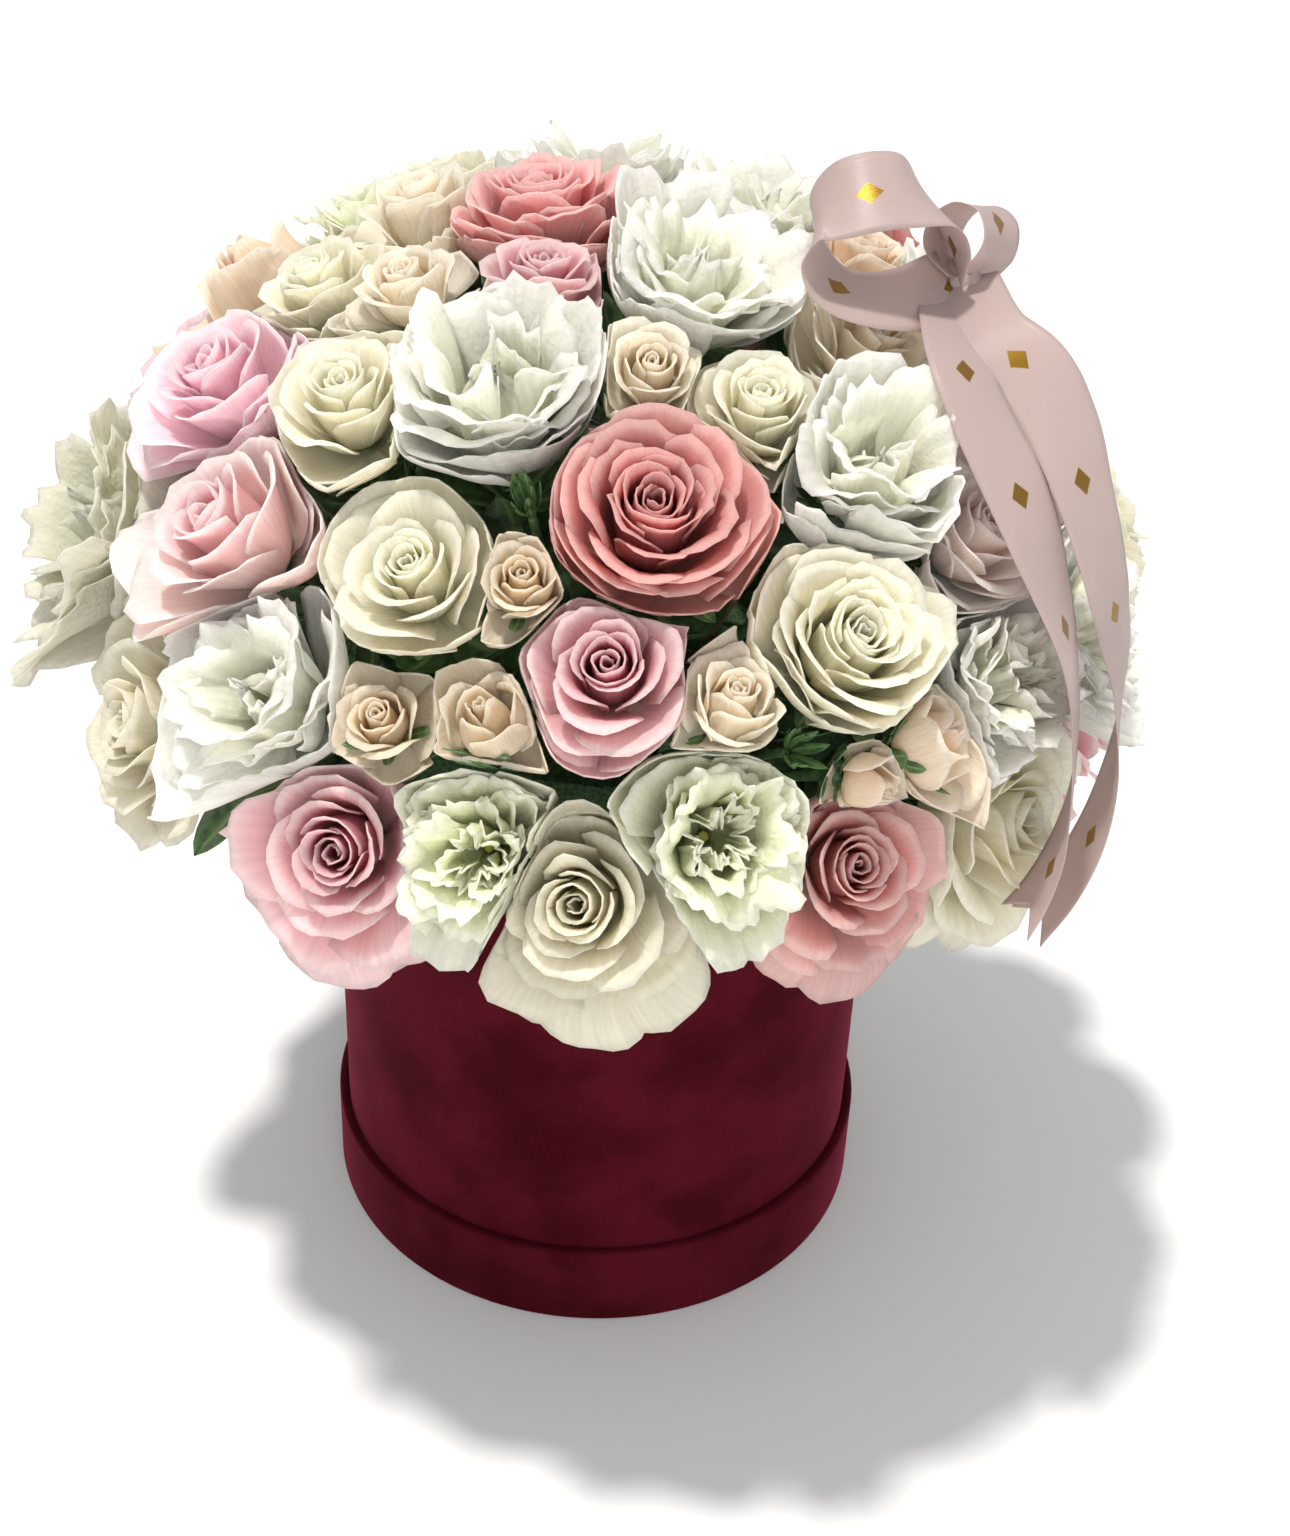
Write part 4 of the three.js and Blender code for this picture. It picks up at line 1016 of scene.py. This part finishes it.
# %% Velvet
# Short-pile velvet over card: matt, almost black from above and red where its fibres catch the light at a
# slant, so it has sheen. Strokes of the hand have laid its nap in patches about 40 mm wide. The pile's fibres
# are far finer than the flecks drawn here.
PILE = 0.6666  # millimetres


def velvet_material():
    material, shader = new_material("short_pile_velvet")
    at = add_node(material, "TexCoord", out="Object")
    brushed = add_node(material, "TexNoise", inputs={"Vector": at, "Scale": per_metre(38.5), "Detail": 4.0})
    pile = add_node(material, "TexNoise", inputs={"Vector": at, "Scale": per_metre(PILE), "Detail": 2.0})
    nap = add_node(material, "MapRange", SMOOTH, {0: brushed, 1: 0.36, 2: 0.66})
    shade = add_node(material, "Mix", BLEND, {0: nap, 6: linear("#39070E"), 7: linear("#4C0F1B")}, 2)
    fleck = add_node(material, "MapRange", SMOOTH, {0: pile, 1: 0.35, 2: 0.65, 3: 0.82, 4: 1.12})
    shade = add_node(material, "HueSaturation", inputs={"Value": fleck, "Color": shade})
    bump = add_node(material, "Bump", inputs={"Strength": 0.5, "Distance": 0.0005, "Height": pile})
    set_inputs(shader, {
        "Base Color": shade, "Normal": bump, "Roughness": 0.9, "Specular IOR Level": 0.03,
        "Sheen Weight": 0.5, "Sheen Roughness": 0.32, "Sheen Tint": linear("#CB5070"),
    })
    return material


velvet = velvet_material()
print("velvet pile drawn at about", PILE, "mm")


# %% Turned walls
SIDES, ARC_STEPS, LAP = 180, 5, 0.5  # faces round a wall, points on a rounded corner, how high the cloth's lap stands


def rounded(corner, before, after, radius):
    """A profile's corner as a small arc."""
    corner, before, after = (np.array(p, dtype=float) for p in (corner, before, after))
    start, end = corner + unit(before - corner) * radius, corner + unit(after - corner) * radius
    t = np.linspace(0, 1, ARC_STEPS)[:, None]
    return ((1 - t) ** 2 * start + 2 * t * (1 - t) * corner + t ** 2 * end).tolist()


def turned_shell(name, corners):
    """A wall turned about the upright axis, from (radius, height, rounding) of its corners, from below to inside."""
    profile = []
    for i, (r, z, rounding) in enumerate(corners):
        if rounding:
            profile += rounded((r, z), corners[i - 1][:2], corners[i + 1][:2], rounding)
        else:
            profile.append([r, z])
    tall = []
    for (r0, z0), (r1, z1) in zip(profile, profile[1:] + profile[-1:]):
        cuts = max(1, int(math.hypot(r1 - r0, z1 - z0) / 18))
        tall += [[r0 + (r1 - r0) * k / cuts, z0 + (z1 - z0) * k / cuts] for k in range(cuts)]
    turn = np.linspace(0, 2 * math.pi, SIDES, endpoint=False)
    away = np.abs(np.mod(turn - math.pi / 2 + math.pi, 2 * math.pi) - math.pi)
    ridge = LAP * np.exp(-(away / 0.012) ** 2)
    rings = []
    outermost = max(r for r, _ in tall)
    for r, z in tall:
        wide = r + ridge * (r > outermost - 0.3) + 0.12 * np.sin(3 * turn + z / 40) * (r > 90)
        rings.append(np.stack([wide * np.cos(turn), wide * np.sin(turn), np.full(SIDES, z)], axis=1))
    builder = Builder()
    builder.add_rings(rings)
    piece = builder.make(name, [velvet])
    return piece


print("faces round a wall:", SIDES)

# %% Box and lid
LID_RADIUS, LID_HEIGHT, LID_WALL, FLOOR, FIT = 105, 35, 3.4, 2.6, 0.3
BOX_RADIUS, BOX_WALL, BOX_TOP = 101.2, 2.8, 205
inner = BOX_RADIUS - BOX_WALL
low = FLOOR + FIT
box_piece = turned_shell("velvet_box", [
    (50, low, 0), (BOX_RADIUS, low, 1.0), (BOX_RADIUS, BOX_TOP, 1.4), (inner, BOX_TOP, 0.9),
    (inner, low + FLOOR, 0.3), (50, low + FLOOR, 0),
])
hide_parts("box_body")
inner = LID_RADIUS - LID_WALL
lid_piece = turned_shell("velvet_lid", [
    (50, 0, 0), (LID_RADIUS, 0, 1.5), (LID_RADIUS, LID_HEIGHT, 1.7), (inner, LID_HEIGHT, 1.0),
    (inner, FLOOR, 0.3), (50, FLOOR, 0),
])
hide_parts("box_lid")
added += triangles(box_piece) + triangles(lid_piece)
print("box", 2 * BOX_RADIUS, "mm across, lid", 2 * LID_RADIUS, "mm across")

# %% [markdown]
# ## Liner, foam and pick
#
# The clear liner, the wet foam and the wooden pick keep their solids, because nothing finer shows of them.
# They get their real finishes: thin polyethylene, open-cell phenolic foam, and split birch.

# %% Finishes of the inside
# Polyethylene sheet: pale, half-glossy, with soft creases about 11 mm apart.
plastic, plastic_shader = new_material("polyethylene_liner")
plastic_place = add_node(plastic, "TexCoord", out="Object")
creases = add_node(plastic, "TexNoise", inputs={"Vector": plastic_place, "Scale": per_metre(11.1), "Detail": 3.0})
tint = add_node(plastic, "Mix", BLEND, {0: creases, 6: linear("#D5DADB"), 7: linear("#E8ECEC")}, 2)
set_inputs(plastic_shader, {"Base Color": tint, "Roughness": 0.35})

# Phenolic foam, soaked: dull green open cells. Real cells are under half a millimetre, and 1.4 mm here.
foam, foam_shader = new_material("phenolic_foam")
foam_place = add_node(foam, "TexCoord", out="Object")
cells = add_node(foam, "TexVoronoi", inputs={"Vector": foam_place, "Scale": per_metre(1.429)})
walls = add_node(foam, "MapRange", SMOOTH, {0: cells, 1: 0.1, 2: 0.7})
wet = add_node(foam, "Mix", BLEND, {0: walls, 6: linear("#2C452B"), 7: linear("#47663F")}, 2)
foam_bump = add_node(foam, "Bump", inputs={"Strength": 0.6, "Distance": 0.0006, "Height": cells})
set_inputs(foam_shader, {"Base Color": wet, "Normal": foam_bump, "Roughness": 0.85})

# Split birch: dry, pale and matt, with fibres about a millimetre wide and 17 mm long.
birch, birch_shader = new_material("split_birch")
birch_place = add_node(birch, "TexCoord", out="Object")
fibre = (per_metre(1.111), per_metre(1.111), per_metre(16.7))
stretch = add_node(birch, "Mapping", inputs={"Vector": birch_place, "Scale": fibre})
grain = add_node(birch, "TexNoise", inputs={"Vector": stretch, "Scale": 1.0, "Detail": 3.0})
wood_shade = add_node(birch, "Mix", BLEND, {0: grain, 6: linear("#A88658"), 7: linear("#CDB286")}, 2)
set_inputs(birch_shader, {"Base Color": wood_shade, "Roughness": 0.7})

for node, look in (("liner", plastic), ("foam", foam), ("ribbon_pick", birch)):
    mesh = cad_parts[node].data
    mesh.materials.clear()
    mesh.materials.append(look)
print("finished: liner, foam and pick")

# %% [markdown]
# ## The satin ribbon
#
# The ribbon is 25 mm polyester satin. A bow could be one long mesh, but it was tied from loops and tails, and
# each of those hangs in its own way, so each is a strip of its own along a few chosen points. Each point also
# says which way the ribbon's face looks, and so where it twists. Small foil lozenges are printed on it, as
# florists' ribbon often has.

# %% Satin
# Woven polyester satin: its long floating threads give a soft gloss, and it is thin enough to let half of the
# light through. Threads are drawn 0.5 mm apart, coarser than real ones. The gold foil lozenges are 42 mm apart.
THREAD_TURNS = 12.5  # radians per millimetre, which is a thread every 0.5 mm
LOZENGES_APART = 42


def satin_material():
    material, shader = new_material("polyester_satin")
    place = add_node(material, "Attribute", {"attribute_name": "petal"}, out="Vector")
    across, along, _ = add_node(material, "SeparateXYZ", inputs={0: place}).node.outputs
    threads = add_node(material, "Math", {"operation": "MULTIPLY"}, {0: across, 1: THREAD_TURNS})
    threads = add_node(material, "Math", {"operation": "SINE"}, {0: threads})
    lap = add_node(material, "Math", {"operation": "PINGPONG"}, {0: along, 1: LOZENGES_APART / 2})
    wide = add_node(material, "Math", {"operation": "ABSOLUTE"}, {0: across})
    reach = add_node(material, "Math", {"operation": "MULTIPLY_ADD"}, {0: wide, 1: 1.3, 2: lap})
    foil = add_node(material, "MapRange", SMOOTH, {0: reach, 1: 4.6, 2: 4.2})
    weave = add_node(material, "MapRange", SMOOTH, {0: threads, 1: -1.0, 2: 1.0})
    cloth = add_node(material, "Mix", BLEND, {0: weave, 6: linear("#CDBAB6"), 7: linear("#D7C5C1")}, 2)
    shade = add_node(material, "Mix", BLEND, {0: foil, 6: cloth, 7: linear("#B8923C")}, 2)
    bump = add_node(material, "Bump", inputs={"Strength": 0.25, "Distance": 0.0002, "Height": threads})
    set_inputs(shader, {"Base Color": shade, "Metallic": foil, "Normal": bump, "Roughness": 0.34, "Sheen Weight": 0.2})
    let_through(material, shader, 0.5, shade)
    return material


satin = satin_material()
print("lozenges every", LOZENGES_APART, "mm")


# %% A curve through points
def through(points, shares):
    """Places along a smooth centripetal curve through points, at shares of its run."""
    points = np.array(points, dtype=float)
    points = np.vstack([2 * points[0] - points[1], points, 2 * points[-1] - points[-2]])
    places = []
    for share in shares:
        run = min(share * (len(points) - 3), len(points) - 3 - 1e-9)
        i = int(run)
        t = run - i
        p0, p1, p2, p3 = points[i:i + 4]
        d0, d1, d2 = (max(np.linalg.norm(b - a), 1e-4) ** 0.5 for a, b in ((p0, p1), (p1, p2), (p2, p3)))
        m1 = ((p1 - p0) / d0 - (p2 - p0) / (d0 + d1) + (p2 - p1) / d1) * d1
        m2 = ((p2 - p1) / d1 - (p3 - p1) / (d1 + d2) + (p3 - p2) / d2) * d1
        a, b = 2 * t ** 3 - 3 * t ** 2 + 1, t ** 3 - 2 * t ** 2 + t
        c, d = -2 * t ** 3 + 3 * t ** 2, t ** 3 - t ** 2
        places.append(a * p1 + b * m1 + c * p2 + d * m2)
    return np.array(places)


print("a quarter along a bend:", through([(0, 0, 0), (1, 0, 0), (1, 1, 0)], [0.25]).round(2).tolist())

# %% Ribbon strips
RIBBON_WIDTH, RIBBON_THICK = 25, 0.3
STRIP_STEPS = 90


def ribbon_strip(name, points, notch, held):
    """One strip of the ribbon, from places and the ways that its face looks there. notch is how deep its V is cut."""
    shares = np.linspace(0, 1, STRIP_STEPS)
    route = through([p for p, _ in points], shares)
    looks = through([look for _, look in points], shares)
    along = np.gradient(route, axis=0)
    along /= np.linalg.norm(along, axis=1, keepdims=True)
    sideways = np.cross(along, looks)
    sideways /= np.linalg.norm(sideways, axis=1, keepdims=True)
    face = np.cross(sideways, along)
    length = np.concatenate([[0], np.cumsum(np.linalg.norm(np.diff(route, axis=0), axis=1))])
    across = np.linspace(-1, 1, 11)
    grid = route[:, None] + sideways[:, None] * (across * RIBBON_WIDTH / 2)[None, :, None]
    grid = grid - face[:, None] * (0.5 * across ** 2)[None, :, None]
    if notch:
        back = np.clip((shares - 0.9) / 0.1, 0, 1)[:, None] * (1 - np.abs(across))[None, :] * notch
        grid = grid - along[:, None] * back[..., None]
    place = np.stack(np.broadcast_arrays(across * RIBBON_WIDTH / 2, length[:, None], 0.0), axis=-1)
    builder = Builder()
    builder.add_sheet(grid, RIBBON_THICK, place)
    piece = builder.make(name, [satin])
    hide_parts("ribbon")
    return piece


print("ribbon:", RIBBON_WIDTH, "mm wide and", RIBBON_THICK, "mm thick")

# %% Loops and tails
# A strip's name, the depth of its V and how it is held, then its places and the ways that its face looks.
ribbons = {}
for line in """
ribbon_front_loop 0 gathered
  103 -35 392  0.47 -0.56 0.68
  90 -46 392  0.27 -0.41 0.87
  76 -50 393  0.2 -0.32 0.93
  65 -48 396  0.47 -0.32 0.82
  59 -44 405  0.91 -0.27 0.32
  59 -44 416  0.87 0.22 -0.43
  68 -47 423  0.28 0.74 -0.61
  82 -45 425  -0.34 0.61 -0.71
  95 -38 418  -0.65 -0.14 -0.74
  101 -33 406  -0.85 -0.3 -0.43
  104 -32 396  -0.97 0.02 -0.26
ribbon_back_loop 0 gathered
  108 -30 393  0.57 -0.08 0.82
  101 -22 398  0.74 -0.29 0.61
  102 -17 406  0.76 -0.62 -0.19
  108 -18 412  0.13 -0.44 -0.89
  115 -24 411  -0.66 0.19 -0.72
  116 -30 403  -0.81 0.58 0
  110 -31 394  -0.7 0.63 0.33
ribbon_inner_tail 8 hung
  104 -34 390  0.19 -0.2 0.96
  104 -74 382  0.38 -0.27 0.88
  111 -89 370  0.43 -0.48 0.77
  119 -99 358  0.45 -0.59 0.67
  127 -108 343  0.61 -0.55 0.57
  135 -114 325  0.81 -0.38 0.46
  141 -120 308  0.93 -0.23 0.27
  146 -119 283  0.97 -0.21 0.14
  147 -122 261  0.99 -0.16 -0.02
  145 -125 244  0.98 -0.05 -0.21
  140 -128 229  0.91 0.02 -0.41
  134 -131 219  0.84 0.07 -0.55
ribbon_outer_tail 8 hung
  105 -32 393  -0.21 -0.25 0.95
  112 -60 387  -0.29 -0.43 0.85
  125 -71 380  -0.09 -0.76 0.64
  135 -80 367  0.25 -0.72 0.65
  142 -90 352  0.53 -0.61 0.59
  148 -98 337  0.67 -0.57 0.47
  154 -103 319  0.82 -0.52 0.23
  161 -96 297  0.91 -0.38 0.16
  163 -98 279  0.97 -0.22 0.09
  163 -102 259  0.99 -0.03 -0.1
  159 -107 238  0.95 0.08 -0.31
  151 -112 220  0.85 0.12 -0.51
  141 -116 206  0.79 0.14 -0.59
""".split("\n")[1:-1]:
    words = line.split()
    if not line.startswith(" "):
        strip_name = words[0]
        ribbons[strip_name] = ([], float(words[1]), words[2])
    else:
        values = list(map(float, words))
        ribbons[strip_name][0].append((values[:3], values[3:]))
for strip_name, strip in ribbons.items():
    added += triangles(ribbon_strip(strip_name, *strip))

# %% [markdown]
# ## The knot
#
# The loops and tails are drawn together by a short turn of the same ribbon. It is a small barrel with the
# pleats that a 25 mm ribbon makes when it is pulled in.

# %% Knot
KNOT_SIDES, KNOT_RINGS = 40, 15
turn = np.linspace(0, 2 * math.pi, KNOT_SIDES, endpoint=False)
rings = []
for share in np.linspace(-1, 1, KNOT_RINGS):
    wide = 6.6 * math.sqrt(max(1 - (0.82 * share) ** 2, 0)) * (1 + 0.05 * np.sin(9 * turn + 2 * share))
    flat = np.stack([wide * np.cos(turn), np.full(KNOT_SIDES, 6.4 * share), wide * np.sin(turn)], axis=1)
    rings.append(flat + KNOT)
knot = Builder()
knot.add_rings(rings, petal=np.tile([0.0, 10.0, 0.0], (KNOT_RINGS * KNOT_SIDES + 2, 1)))
knot_piece = knot.make("ribbon_knot", [satin])
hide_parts("ribbon")
added += triangles(knot_piece)
print("triangles in all new pieces:", added)
